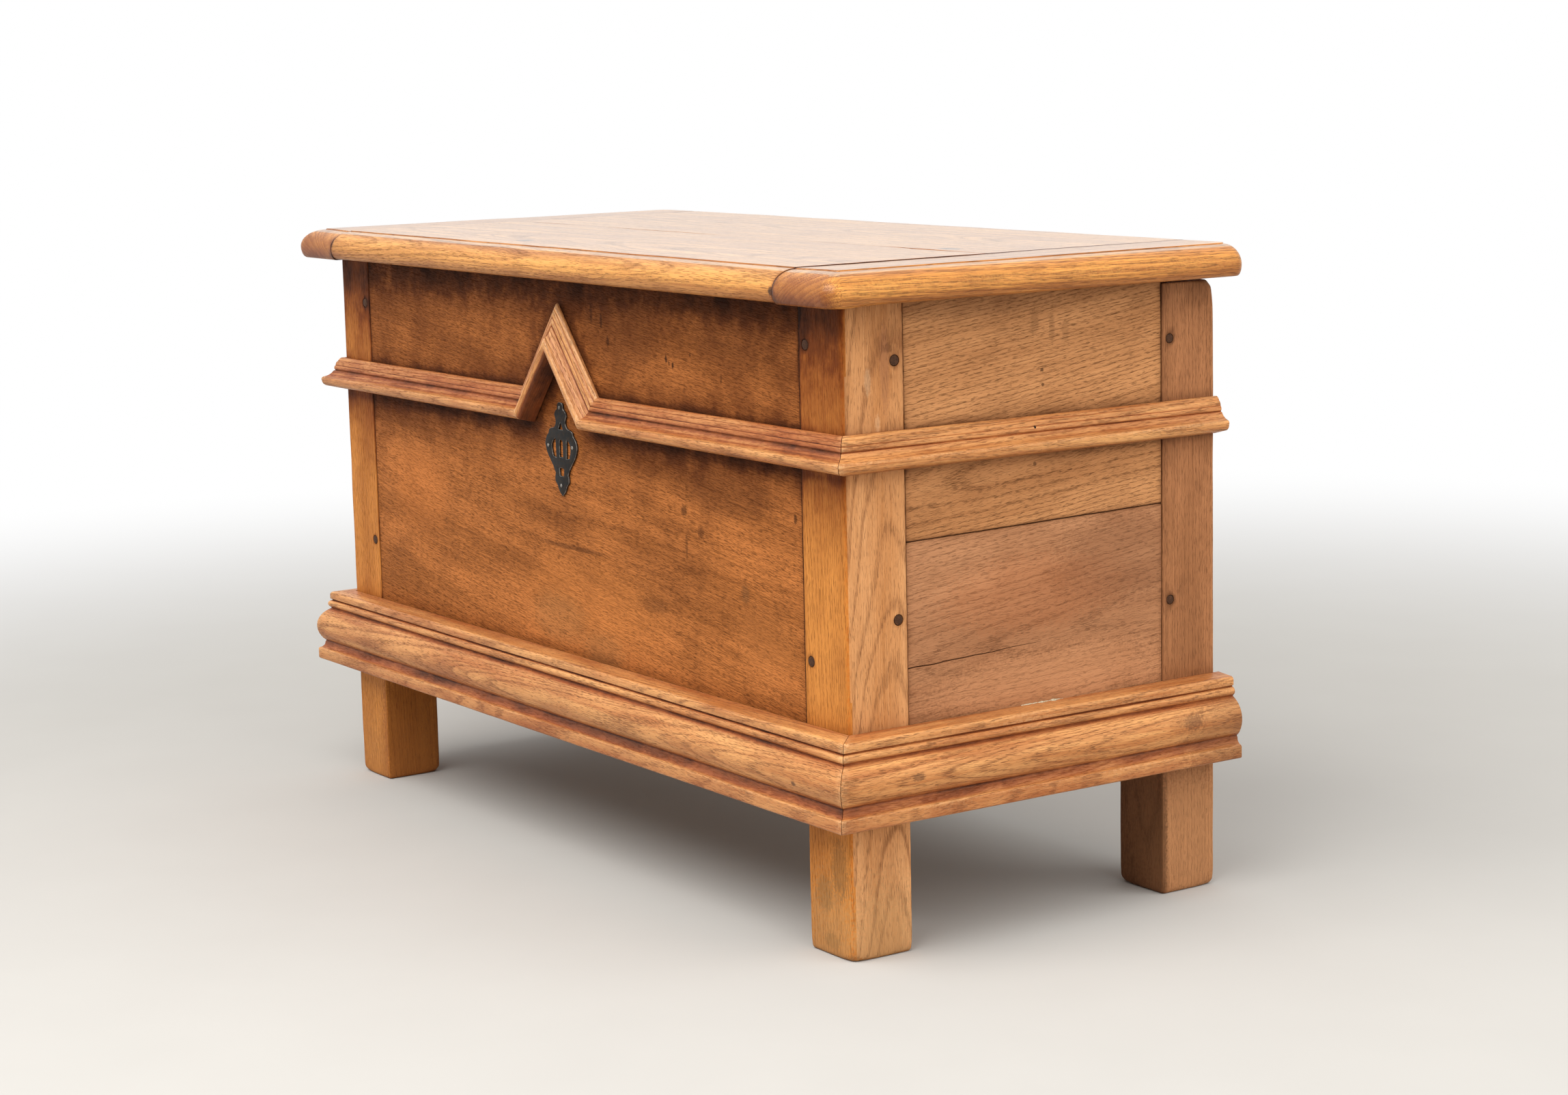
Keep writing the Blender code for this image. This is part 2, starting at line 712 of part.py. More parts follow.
def lid_piece(name, planes):
    bm = lid_blank()
    for point, normal in planes:
        trim(bm, Vector(point) - Vector(normal) * (GAP / 2), normal)
    return finish(mesh_object(name, bm, PARTS), LID_OAK, POLISHED_ROUGHNESS)


def lid():
    """Two boards between cross-grained ends that are grooved over the boards' tongues."""
    left = ((-LID_SEAM, 0, 0), (-1, 0, 0))
    right = ((LID_SEAM, 0, 0), (1, 0, 0))
    behind = ((0, LID_MIDDLE, 0), (0, 1, 0))
    before = ((0, LID_MIDDLE, 0), (0, -1, 0))
    tongue_low = LID_UNDERSIDE + (LID - LID_TONGUE) / 2
    tongue_high = tongue_low + LID_TONGUE
    tongue_front = LID_FRONT + LID_TONGUE_STOP
    tongue_back = LID_BACK - LID_TONGUE_STOP
    reach = LID_SEAM + LID_TONGUE_REACH
    boards = {
        "lid_front_board": (behind, tongue_front, LID_MIDDLE - GAP / 2),
        "lid_back_board": (before, LID_MIDDLE + GAP / 2, tongue_back),
    }
    pieces = []
    for name, (plane, low_y, high_y) in boards.items():
        board = lid_piece(name, (left, right, plane))
        tongue = box(name + "_tongue", (-reach, low_y, tongue_low), (reach, high_y, tongue_high), CUTTERS)
        join(board, tongue)
        pieces.append(board)
    for hand, side in HANDS.items():
        seam = ((side * LID_SEAM, 0, 0), (-side, 0, 0))
        end = lid_piece(f"lid_end_{hand}", (seam,))
        x_range = sorted((side * (LID_SEAM - GAP), side * (reach + GAP)))
        groove = box(
            end.name + "_groove",
            (x_range[0], tongue_front - GAP, tongue_low - GAP),
            (x_range[1], tongue_back + GAP, tongue_high + GAP),
            CUTTERS,
        )
        cut(end, groove)
        pieces.append(end)
    return pieces


# Hinges

def hinge_gain(name, x, top, bottom):
    """Room for one hinge's knuckle in the board above or below it."""
    half = HINGE_LENGTH / 2 + 2 * KNUCKLE_CLEARANCE
    deep = KNUCKLE / 2 + KNUCKLE_CLEARANCE
    low = (x - half, BACK - deep, bottom)
    high = (x + half, LID_BACK + GAP, top)
    return box(name, low, high, CUTTERS)


def round_points(centre, radius, start, sweep, steps):
    """Points on an arc about centre, both ends included."""
    for step in range(steps + 1):
        angle = start + sweep * step / steps
        yield centre[0] + radius * math.cos(angle), centre[1] + radius * math.sin(angle)


def leaf(name, x, low_z, notches):
    """A plate rolled into a barrel along its back edge, and notched for the other leaf's barrels."""
    axis = (BACK, HINGE_Z)
    radius = KNUCKLE / 2
    below = low_z - HINGE_Z
    above = below + LEAF
    start = math.atan2(below, -math.sqrt(radius ** 2 - below ** 2))
    end = math.atan2(above, -math.sqrt(radius ** 2 - above ** 2))
    barrel = round_points(axis, radius, start, (end - start) % math.tau, ROUND_SIDES)
    edge = BACK - LEAF_WIDTH
    outline = [(edge, low_z + LEAF), (edge, low_z), *barrel]
    bore = list(round_points(axis, PIN / 2 + GAP, 0, math.tau, ROUND_SIDES))[:-1]
    along_x = Matrix(((0, 0, 1), (1, 0, 0), (0, 1, 0))).to_4x4()
    obj = extruded(name, [outline, bore], HINGE_LENGTH, Matrix.Translation((x, 0, 0)) @ along_x)
    plate_back = BACK - radius - KNUCKLE_CLEARANCE
    boxes = [
        ((x + low, plate_back, HINGE_Z - KNUCKLE), (x + high, BACK + KNUCKLE, HINGE_Z + KNUCKLE))
        for low, high in notches
    ]
    cut(obj, cutter_of_boxes(name + "_notches", boxes))
    return finish(obj, IRON, FORGED_ROUGHNESS, 1.0)


def hinges(back_board, lid_board):
    """Two butt hinges whose leaves lie flat between the back wall and the lid."""
    half = HINGE_LENGTH / 2
    sixth = HINGE_LENGTH / 6
    middle_notch = [(-sixth - GAP, sixth + GAP)]
    outer_notches = [(-half - GAP, -sixth), (sixth, half + GAP)]
    lid_leaves = []
    for hand, side in HANDS.items():
        x = side * (SIDE - HINGE_FROM_END)
        leaf(f"{hand}_hinge_case_leaf", x, REAR_TOP + GAP, middle_notch)
        lid_leaves.append(leaf(f"{hand}_hinge_lid_leaf", x, LID_UNDERSIDE - GAP - LEAF, outer_notches))
        pin = bmesh.new()
        length = HINGE_LENGTH + 2 * PIN_HEAD
        add_rod(pin, (x - length / 2, BACK, HINGE_Z), (1, 0, 0), length, PIN / 2)
        finish(mesh_object(f"{hand}_hinge_pin", pin, PARTS), IRON, FORGED_ROUGHNESS, 1.0)
        reach = KNUCKLE / 2 + KNUCKLE_CLEARANCE
        cut(back_board, hinge_gain(f"{hand}_gain_in_back", x, LID_UNDERSIDE, HINGE_Z - reach))
        cut(lid_board, hinge_gain(f"{hand}_gain_in_lid", x, HINGE_Z + reach, REAR_TOP))
    return lid_leaves


def hang_lid(pieces):
    """An empty on the hinge axis carries everything that swings with the lid."""
    axis = bpy.data.objects.new("lid_axis", None)
    PARTS.objects.link(axis)
    axis.location = (0, BACK, HINGE_Z)
    for piece in pieces:
        piece.parent = axis
        piece.matrix_parent_inverse = Matrix.Translation(axis.location).inverted()


# Escutcheon

def escutcheon():
    """A pierced plate: three upright slots between a window above and one below."""
    edge = with_arcs(ESCUTCHEON_EDGE)
    outline = edge + [Vector((-point.x, point.y)) for point in reversed(edge[1:-1])]
    slot = with_arcs(OUTER_SLOT)
    other_slot = [Vector((-point.x, point.y)) for point in slot]
    windows = [with_arcs(window) for window in (MIDDLE_SLOT, UPPER_WINDOW, LOWER_WINDOW)]
    face = FRONT + BOARD_SETBACK - GAP - ESCUTCHEON / 2
    upright = Matrix.Rotation(math.pi / 2, 4, "X")
    place = Matrix.Translation((ESCUTCHEON_X, face, ESCUTCHEON_BOTTOM)) @ upright
    plate = extruded("escutcheon", [outline, slot, other_slot, *windows], ESCUTCHEON, place)
    finish(plate, IRON, FORGED_ROUGHNESS, 1.0)


def build():
    bores = frame()
    back_board = walls(bores)
    floor()
    mouldings()
    lid_pieces = lid()
    lid_pieces += hinges(back_board, lid_pieces[1])
    hang_lid(lid_pieces)
    escutcheon()


clear_scene()
PARTS = new_collection("oak_chest")
CUTTERS = new_collection("cutters")
build()
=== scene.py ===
"""The finished look of a joined oak chest: worn posts and boards, mitred mouldings, pegs, iron and light."""

import math
from functools import partial

import bmesh
import bpy
import numpy as np
from mathutils import Matrix, Vector, noise


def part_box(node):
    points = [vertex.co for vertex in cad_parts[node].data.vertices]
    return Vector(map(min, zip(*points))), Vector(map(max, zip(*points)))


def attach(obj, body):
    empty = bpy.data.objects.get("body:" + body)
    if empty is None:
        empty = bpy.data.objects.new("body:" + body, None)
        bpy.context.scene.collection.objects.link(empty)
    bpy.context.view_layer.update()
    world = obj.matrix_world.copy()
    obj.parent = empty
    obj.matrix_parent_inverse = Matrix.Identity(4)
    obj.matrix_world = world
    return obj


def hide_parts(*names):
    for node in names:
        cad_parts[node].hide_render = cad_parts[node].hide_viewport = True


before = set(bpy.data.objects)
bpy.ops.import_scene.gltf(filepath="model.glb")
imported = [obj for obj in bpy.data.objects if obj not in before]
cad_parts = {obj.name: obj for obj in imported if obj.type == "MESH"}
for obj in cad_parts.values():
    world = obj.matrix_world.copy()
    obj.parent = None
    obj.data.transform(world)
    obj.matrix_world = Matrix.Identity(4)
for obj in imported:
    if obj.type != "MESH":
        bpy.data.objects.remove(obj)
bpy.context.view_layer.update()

# Sizes in metres, read from the solids
GAP = 0.0003
CUT_PAST = 0.01    # how far a cut runs past the wood
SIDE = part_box("front_right_post")[1].x
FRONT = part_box("front_right_post")[0].y
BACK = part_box("rear_right_post")[1].y
POST_INSIDE_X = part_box("front_right_post")[0].x
POST_INSIDE_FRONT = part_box("front_right_post")[1].y
POST_INSIDE_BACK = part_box("rear_right_post")[0].y
WALL_BOTTOM, FRONT_TOP = (corner.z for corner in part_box("front_board"))
WALL_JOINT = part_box("right_end_upper_board")[0].z
BOARD_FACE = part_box("front_board")[0].y - FRONT
WALL_MIDDLE = BOARD_FACE + 0.011    # from a post's face to the middle of a board
TONGUE, TONGUE_REACH, TONGUE_INSET = 0.010, 0.020, 0.005
EDGE_TONGUE, EDGE_TONGUE_REACH = 0.006, 0.008
MID_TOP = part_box("middle_moulding_right")[1].z
BASE_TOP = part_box("base_moulding_right")[1].z
CHEVRON_HALF_WIDTH, CHEVRON_RISE = 0.068, 0.0815
LID_LOW, LID_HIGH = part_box("lid_end_left")[0].z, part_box("lid_end_left")[1].z
LID_HALF_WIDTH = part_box("lid_end_right")[1].x
LID_FRONT, LID_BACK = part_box("lid_end_right")[0].y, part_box("lid_end_right")[1].y
LID_SEAM = 0.402
SIDES = {"left": -1, "right": 1}
LEAF_SPACING = 0.0004
HINGE_AXIS_Z = sum(corner.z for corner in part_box("left_hinge_pin")) / 2
X, Y, Z = np.eye(3)

# Mouldings from the underside up, in metres: height of a member, how far out it is at its top, and its bow
MID_MEMBERS = [
    (0.0036, 0.0144, 0), (0.0053, 0.0185, 0.0012), (0.0040, 0.0174, 0.0008), (0.0064, 0.0092, -0.0012),
    (0.0005, 0.0076, 0), (0.0013, 0.0085, 0), (0.0034, 0.0079, 0.0003), (0.0003, 0.0073, 0), (0.0004, 0.0075, 0),
    (0.0041, 0.0057, 0.0004), (0.0002, 0.0052, 0), (0.0004, 0.0053, 0), (0.0030, 0.0026, 0.0003),
]
BASE_MEMBERS = [
    (0, 0.0286, 0), (0.0021, 0.0308, 0.0006), (0.0088, 0.0308, 0), (0.0011, 0.0299, 0),
    (0.0061, 0.0253, -0.0014), (0.0018, 0.0243, 0), (0.0018, 0.0265, 0), (0.0314, 0.0213, 0.0072),
    (0.0014, 0.0191, 0), (0.0011, 0.0197, 0), (0.0072, 0.0188, 0.0026), (0.0007, 0.0179, 0),
    (0.0011, 0.0200, 0), (0.0043, 0.0200, 0), (0.0032, 0.0169, 0.0008), (0.0014, 0.0004, 0),
]
MID_HEIGHT = sum(member[0] for member in MID_MEMBERS)
BASE_PAST_BACK = 0.004

# Escutcheon: half its outline from the bottom up (half width, height, bow), and its piercings
ESCUTCHEON_X, ESCUTCHEON_THICK = -0.003, 0.0018
ESCUTCHEON_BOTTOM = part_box("escutcheon")[0].z
ESCUTCHEON_EDGE = [
    (0, 0, 0.0012), (0.0080, 0.0090, 0), (0.0122, 0.0130, 0.0008), (0.0112, 0.0205, -0.0006),
    (0.0210, 0.0330, 0.0012), (0.0290, 0.0465, 0.0012), (0.0240, 0.0560, -0.0006), (0.0215, 0.0605, 0.0006),
    (0.0130, 0.0630, -0.0012), (0.0084, 0.0695, -0.0004), (0.0108, 0.0750, 0.0010), (0.0058, 0.0808, -0.0003),
    (0.0050, 0.0846, 0.0012), (0, 0.0871, 0),
]
MIDDLE_SLOT = [(-0.0031, 0.0362, 0), (0.0031, 0.0362, 0), (0.0031, 0.0505, 0.0022), (-0.0031, 0.0505, 0)]
OUTER_SLOT = [(0.0090, 0.0352, 0), (0.0148, 0.0362, 0.0008), (0.0172, 0.0470, 0.0012), (0.0100, 0.0535, 0)]
UPPER_WINDOW = [(-0.0042, 0.0620, 0), (0.0042, 0.0620, 0.0004), (0.0000, 0.0688, 0.0004)]
LOWER_WINDOW = [(-0.0036, 0.0185, 0), (0.0036, 0.0185, 0), (0.0046, 0.0254, 0.0010), (-0.0046, 0.0254, 0)]
ESCUTCHEON_NAILS = [(-0.0009, 0.0823), (-0.0232, 0.0455), (0.0208, 0.0469), (-0.0013, 0.0095)]


# Nodes and colours

def linear(code):
    """Scene colour of an sRGB hex value."""
    parts = [int(code[place:place + 2], 16) / 255 for place in (0, 2, 4)]
    return (*[p / 12.92 if p <= 0.04045 else ((p + 0.055) / 1.055) ** 2.4 for p in parts], 1)


def feed(node, sockets):
    """Gives a node's inputs their values, or the nodes or output sockets that feed them."""
    for key, value in sockets.items():
        if isinstance(value, bpy.types.Node):
            value = value.outputs[0]
        if isinstance(value, bpy.types.NodeSocket):
            node.id_data.links.new(value, node.inputs[key])
        else:
            node.inputs[key].default_value = value


def add(tree, kind, *feeds, **settings):
    """Adds a node. kind may name an operation after a colon; feeds are its inputs in order, then a dict of others."""
    kind, _, operation = kind.partition(":")
    node = tree.nodes.new(kind if "Node" in kind else "ShaderNode" + kind)
    if operation:
        node.operation = operation
    for name, value in settings.items():
        setattr(node, name, value)
    sockets = {}
    for given in feeds:
        sockets.update(given if isinstance(given, dict) else {len(sockets): given})
    feed(node, sockets)
    return node


def new_material(name):
    """A new material, its shader, what adds a node to it, and the place in Object coordinates."""
    material = bpy.data.materials.new(name)
    material.use_nodes = True
    put = partial(add, material.node_tree)
    return material, material.node_tree.nodes["Principled BSDF"], put, put("TexCoord").outputs["Object"]


def layered(put, ground, layers):
    """A ground colour with others laid over it, each (depth, colour)."""
    colour = linear(ground)
    for depth, tint in layers:
        colour = put("Mix", {0: depth, 6: colour, 7: linear(tint)}, data_type="RGBA").outputs[2]
    return colour


def summed(put, start, parts):
    """Start plus each of the parts times its weight."""
    for part, weight in parts:
        start = put("Math:MULTIPLY_ADD", part, weight, start)
    return start


def drawn_out(put, place, size, detail, roughness=0.5):
    """Noise drawn out along the log; size is its length and width, in the units of place."""
    long, wide = size
    place = put("VectorMath:MULTIPLY", place, (1 / long, 1 / wide, 1 / wide))
    return put("TexNoise", {"Vector": place, "Scale": 1.0, "Detail": detail, "Roughness": roughness})


def seen(put):
    """1 for a ray that shows the surface itself, straight or mirrored, and 0 for one that only carries its light."""
    ray = put("LightPath").outputs
    direct = put("Math:MAXIMUM", ray["Is Camera Ray"], ray["Is Glossy Ray"])
    return put("Math:MAXIMUM", direct, ray["Is Transmission Ray"])


# Materials

def oak(name, light, dark, early, pore, *, ring=3.6, ring_depth=0.5, band=0.45, lean=(0.0, 0.03), wander=14,
        pores=0.0, pore_size=(7.5, 0.34), pore_depth=0.65, pull=0.13, specks=0.2, streak=0.5, tone_size=(320, 38),
        blotch=0.3, blotch_size=(58, 36), blotch_tint="5a3019", varnish_and_shade="6b3517", grime="24110a", wear="dba873",
        rough=0.42, specular=0.3, polish=0.0, relief_depth=1.0, marks=(), turn=None):
    """Old waxed oak. It is ring porous, so the eye gets bands of short open pores that follow the growth rings,
    fine fibre between them, wax and dirt in the hollows and paler wood where hands and dusters rub.
    Each piece's grain attribute gives metres along the log, across it and through it from its heart;
    turn gives, for a plain solid, the rotation that lays Object coordinates along the log instead.
    Lengths of the pattern are in millimetres; marks are (place, radii, colour, strength) on Object coordinates."""
    material, shader, put, object_place = new_material(name)
    if turn is None:
        grain = put("Attribute", attribute_name="grain").outputs["Vector"]
    else:
        grain = put("Mapping", {"Vector": object_place, "Rotation": turn})
    place = put("VectorMath:SCALE", grain, {"Scale": 1000.0})

    # the log's heart wanders, so rings and pores do
    drift = drawn_out(put, place, (230, 70), 2.0).outputs["Color"]
    drift = put("VectorMath:SUBTRACT", drift, (0.5, 0.5, 0.5))
    swayed = put("VectorMath:MULTIPLY_ADD", drift, (0, wander, wander), place)
    parts = put("SeparateXYZ", swayed).outputs
    across, through = (put("Math:MULTIPLY_ADD", parts[0], -lean[way], parts[way + 1]) for way in range(2))
    spoke = put("CombineXYZ", {1: across, 2: through})
    radius = put("VectorMath:LENGTH", spoke).outputs["Value"]

    # rings of uneven width, each with a band of spring wood that sets in quickly and thins out
    years = put("Math:MULTIPLY", radius, 1 / ring)
    uneven = put("Math:MULTIPLY", years, 0.21)
    uneven = put("TexNoise", {"W": uneven, "Scale": 1.0, "Detail": 1.0}, noise_dimensions="1D")
    years = put("Math:MULTIPLY_ADD", uneven, 3.2, years)
    season = put("Math:FRACT", years)
    spring = put("MapRange", season, 0.02, band, 1.0, 0.0, interpolation_type="SMOOTHSTEP")
    spring = put("Math:MAXIMUM", spring, put("MapRange", season, 0.88, 1.0, 0.0, 1.0))
    year = put("TexWhiteNoise", {"W": put("Math:ROUND", years)}, noise_dimensions="1D").outputs["Value"]
    year = put("MapRange", year, {3: 0.3 * ring_depth, 4: ring_depth})

    # open pores: some 5 mm long and 0.4 mm wide, half as wide again as real ones so that they show
    dash = summed(put, drawn_out(put, swayed, pore_size, 0.0), [(spring, pull)])
    dash = put("MapRange", dash, 0.65 - pores, 0.75 - pores)
    # fibre under 1 mm wide, broad tone over a board, blotches the size of a coin to a hand, and specks 2 mm across
    fibre = drawn_out(put, swayed, (55, 0.8), 2.0)
    tone = drawn_out(put, swayed, tone_size, 3.0)
    stain = drawn_out(put, place, blotch_size, 6.0, 0.66)
    grit = put("TexNoise", {"Vector": place, "Scale": 0.45, "Detail": 3.0})

    # colour: fibre and tone, then rings, pores, blotches, specks, wear that is in places painted light, old varnish
    # that turns to dirt and also paints shade, single marks
    shade = summed(put, tone, [(fibre, streak)])
    rubbed = put("Attribute", attribute_name="wear").outputs["Fac"]
    # the attribute read here holds dirt and painted shade, so dirt below means both
    dirt = put("Attribute", attribute_name="grime").outputs["Fac"]
    dirt = put("Math:MULTIPLY", dirt, put("MapRange", stain, 0.30, 0.60, 0.45, 1.0))
    layers = [
        (put("MapRange", shade, 0.33 + 0.5 * streak, 0.67 + 0.5 * streak), light),
        (put("Math:MULTIPLY", spring, year), early),
        (put("Math:MULTIPLY", dash, pore_depth), pore),
        (put("MapRange", stain, 0.48, 0.70, 0.0, blotch), blotch_tint),
        (put("MapRange", grit, 0.66, 0.72, 0.0, specks), pore),
        (put("Math:MULTIPLY", rubbed, put("MapRange", grit, 0.38, 0.60, 0.10, 0.85)), wear),
        (put("MapRange", dirt, 0.0, 0.5, 0.0, 0.85), varnish_and_shade),
        (put("MapRange", dirt, 0.4, 0.9), grime),
    ]
    for centre, radii, tint, strength in marks:
        aside = put("VectorMath:SUBTRACT", object_place, centre)
        aside = put("VectorMath:MULTIPLY", aside, [1000 / radius for radius in radii])
        ragged = summed(put, put("VectorMath:LENGTH", aside).outputs["Value"], [(grit, 1.1)])
        depth = put("MapRange", ragged, 1.05, 1.60, strength, 0.0, interpolation_type="SMOOTHSTEP")
        layers.append((depth, tint))

    # relief in millimetres: pores 0.25 deep, soft spring wood sunk a little, fibre raised
    relief = summed(put, put("Math:MULTIPLY", dash, -0.25), [(spring, -0.05), (fibre, 0.10)])
    feed(shader, {
        "Base Color": layered(put, dark, layers),
        # wax lies smooth on the fibre and leaves pores and dirt dull
        "Roughness": summed(put, rough, [(dash, 0.22), (dirt, 0.2), (fibre, 0.12)]),
        "Specular IOR Level": specular, "Coat Weight": polish, "Coat Roughness": 0.28,
        "Normal": put("Bump", {"Height": relief, "Distance": 0.001 * relief_depth}),
    })
    return material


def wrought_iron(name, black, brown, bright, rough):
    """Forged and blackened iron: a dull scale with a brown bloom, hammered uneven, grey where it is rubbed."""
    material, shader, put, place = new_material(name)
    # scale flakes about 3 mm across, hammer marks about 9 mm
    flake = put("TexNoise", {"Vector": place, "Scale": 330.0, "Detail": 4.0})
    hammer = put("TexNoise", {"Vector": place, "Scale": 110.0, "Detail": 1.0})
    rubbed = put("Attribute", attribute_name="wear").outputs["Fac"]
    rubbed = put("Math:MULTIPLY", rubbed, put("MapRange", flake, 0.35, 0.60, 0.2, 1.0))
    bloom = put("MapRange", flake, 0.45, 0.70)
    relief = summed(put, hammer, [(flake, 0.12)])
    feed(shader, {
        "Base Color": layered(put, black, [(bloom, brown), (rubbed, bright)]), "Metallic": 0.75,
        "Roughness": put("MapRange", flake, {3: rough - 0.1, 4: rough + 0.15}),
        "Normal": put("Bump", {"Height": relief, "Distance": 0.0004}),
    })
    return material


def end_grain(name, light, dark):
    """End grain of a riven oak peg, nearly black with old wax, with open pores as pin pricks."""
    material, shader, put, place = new_material(name)
    # pores 0.4 mm across, dirt over 3 mm
    prick = put("TexVoronoi", {"Vector": place, "Scale": 1300.0}).outputs["Distance"]
    dirt = put("TexNoise", {"Vector": place, "Scale": 320.0, "Detail": 3.0})
    shade = put("Math:MULTIPLY", put("MapRange", prick, 0.15, 0.55), dirt)
    feed(shader, {
        "Base Color": layered(put, dark, [(shade, light)]), "Roughness": 0.6, "Specular IOR Level": 0.2,
        "Normal": put("Bump", {"Height": shade, "Distance": 0.0002}),
    })
    return material


def crumbly(name, ground, tint, crumbs, span, rough, specular, relief):
    """Something packed and crumbly, dull as dust and in two tones; crumbs is how many come on a metre."""
    material, shader, put, place = new_material(name)
    crumb = put("TexNoise", {"Vector": place, "Scale": crumbs, "Detail": 3.0})
    feed(shader, {"Base Color": layered(put, ground, [(put("MapRange", crumb, *span), tint)]), "Roughness": rough,
                  "Specular IOR Level": specular})
    if relief:
        feed(shader, {"Normal": put("Bump", {"Height": crumb, "Distance": relief})})
    return material


def pale_floor(name, tint, cloudy):
    """Matt pale studio floor that fades to the white background, so no edge shows."""
    material, shader, put, place = new_material(name)
    # trowel marks about 150 mm across
    cloud = put("TexNoise", {"Vector": place, "Scale": 7.0, "Detail": 4.0})
    shade = put("MapRange", cloud, {3: 0.0, 4: 0.35})
    feed(shader, {"Base Color": layered(put, tint, [(shade, cloudy)]), "Roughness": 0.9})
    reach = put("VectorMath:LENGTH", place).outputs["Value"]
    fade_out = put("MapRange", reach, 0.9, 2.6, interpolation_type="SMOOTHSTEP")
    fade_out = put("Math:MULTIPLY", fade_out, seen(put))
    white = put("Emission")
    feed(material.node_tree.nodes["Material Output"], {"Surface": put("MixShader", fade_out, shader, white)})
    return material


# Marks of use

def marks_on(axis, level, depth, rows):
    """Marks on the face at this level of an axis, reaching this many millimetres deep. A row is the place along
    the face, the height, half the width and half the height in millimetres, the colour and the strength."""
    marks = []
    for along, height, wide, tall, tint, strength in rows:
        centre, radii = [level, level, height], [depth, depth, tall]
        centre[1 - axis], radii[1 - axis] = along, wide
        marks.append((centre, radii, tint, strength))
    return marks


POST_MARKS = [
    *marks_on(1, FRONT + 0.03, 60, [
        (0.4195, 0.01, 60, 85, "b0885a", 0.50), (-0.4195, 0.01, 60, 85, "a8703c", 0.50),
        # painted shade on the left front foot's inner side, under the chest
        (-POST_INSIDE_X, 0.05, 12, 100, "8a4a1e", 0.55)]),
    *marks_on(1, FRONT, 6, [
        (0.4330, 0.0760, 14, 30, "6f5230", 0.42), (0.4110, 0.0520, 14, 18, "7a5c36", 0.38),
        (0.4210, 0.0130, 14, 9, "7a5c36", 0.35)]),
    *marks_on(0, SIDE, 8, [
        (-0.1386, 0.5072, 4, 6, "6f4426", 0.7), (-0.1602, 0.4811, 4, 13, "dcb287", 0.35),
        (-0.1508, 0.4470, 3, 9, "dcb287", 0.35), (-0.1430, 0.4900, 6, 45, "8a5a44", 0.30)]),
]
REAR_POST_MARKS = [
    # painted light on the rear feet's outer sides
    *[((side * SIDE, BACK - 0.03, 0.05), (90, 60, 80), "cf9665", 0.35) for side in SIDES.values()],
    # painted shade on the rear feet's forward faces, under the chest
    *[((side * (SIDE - 0.03), POST_INSIDE_BACK, 0.05), (70, 8, 110), "3f2415", 0.60) for side in SIDES.values()],
]
FRONT_MARKS = [
    # broad tones, then stains, knocks and worm holes
    *marks_on(1, FRONT, 10, [
        (0.10, 0.500, 80, 45, "4a2410", 0.30), (0.30, 0.505, 90, 30, "4a2410", 0.25),
        (-0.01, 0.330, 70, 45, "55290f", 0.22), (0.178, 0.300, 100, 50, "5a2e13", 0.22),
        (0.27, 0.372, 90, 22, "4f2811", 0.30), (0.05, 0.250, 150, 45, "cf8040", 0.25),
        (-0.29, 0.316, 70, 50, "c47438", 0.25), (0.33, 0.250, 60, 45, "c87d42", 0.25)]),
    *marks_on(1, FRONT, 8, [
        (0.205, 0.352, 6, 6, "3a1d0c", 0.60), (0.232, 0.335, 6, 7, "3f200e", 0.50),
        (0.208, 0.320, 2.5, 13, "3f200e", 0.45), (0.300, 0.290, 8, 10, "4a3a28", 0.35),
        (0.010, 0.2950, 75, 3, "3c1e0d", 0.45), (0.150, 0.260, 30, 9, "3c1e0d", 0.40),
        (-0.020, 0.225, 60, 30, "7a6240", 0.22), (0.060, 0.205, 45, 22, "7a6240", 0.20),
        (0.0734, 0.5096, 2.6, 9, "32190b", 0.70), (0.0843, 0.4918, 3, 6, "32190b", 0.60),
        (0.0560, 0.5150, 3, 11, "32190b", 0.50), (0.1822, 0.4833, 2.4, 4.5, "28140a", 0.80),
        (0.1932, 0.4782, 2.2, 3.6, "28140a", 0.80), (0.1870, 0.4795, 1.8, 3, "28140a", 0.60),
        (0.2214, 0.4891, 2, 2, "32190b", 0.60), (0.2700, 0.4720, 1.6, 6, "32190b", 0.50),
        (0.3784, 0.3640, 3, 5, "32190b", 0.70), (0.0200, 0.4300, 2, 3, "32190b", 0.50)]),
]
END_MARKS = [
    *marks_on(0, SIDE, 8, [
        (0.0131, 0.5189, 5, 14, "6a4429", 0.34), (0.0313, 0.5120, 4, 16, "6a4429", 0.30),
        (0.0460, 0.5081, 5, 13, "6a4429", 0.26), (0.0206, 0.4777, 2.2, 2.2, "3f2515", 0.75),
        (0.0212, 0.4650, 1.8, 1.8, "3f2515", 0.75), (0.0117, 0.3988, 2.4, 2.4, "3f2515", 0.65)]),
    *marks_on(0, SIDE, 12, [
        (0.0100, 0.2900, 120, 40, "b8693c", 0.20), (0.1100, 0.3100, 90, 50, "7d5035", 0.40),
        # painted shade along the top under the lid, and painted light low down by the base moulding
        (-0.05, 0.535, 110, 10, "6a432a", 0.25), (0.03, 0.213, 160, 34, "cf9164", 0.40)]),
]
MOULDING_MARKS = [
    ((0.4128, -0.2135, 0.1512), (4, 7, 3.2), "4e2a14", 0.80), ((0.4785, -0.1375, 0.1570), (8, 9, 4), "55351f", 0.60),
    ((0.4785, 0.1600, 0.1600), (8, 16, 8), "4e2d18", 0.50), ((0.3200, -0.2000, 0.4120), (26, 9, 4), "5c3017", 0.45),
    # painted shade at the back end of the right base moulding
    ((0.4785, BACK, 0.1350), (40, 75, 60), "6e4022", 0.40),
]
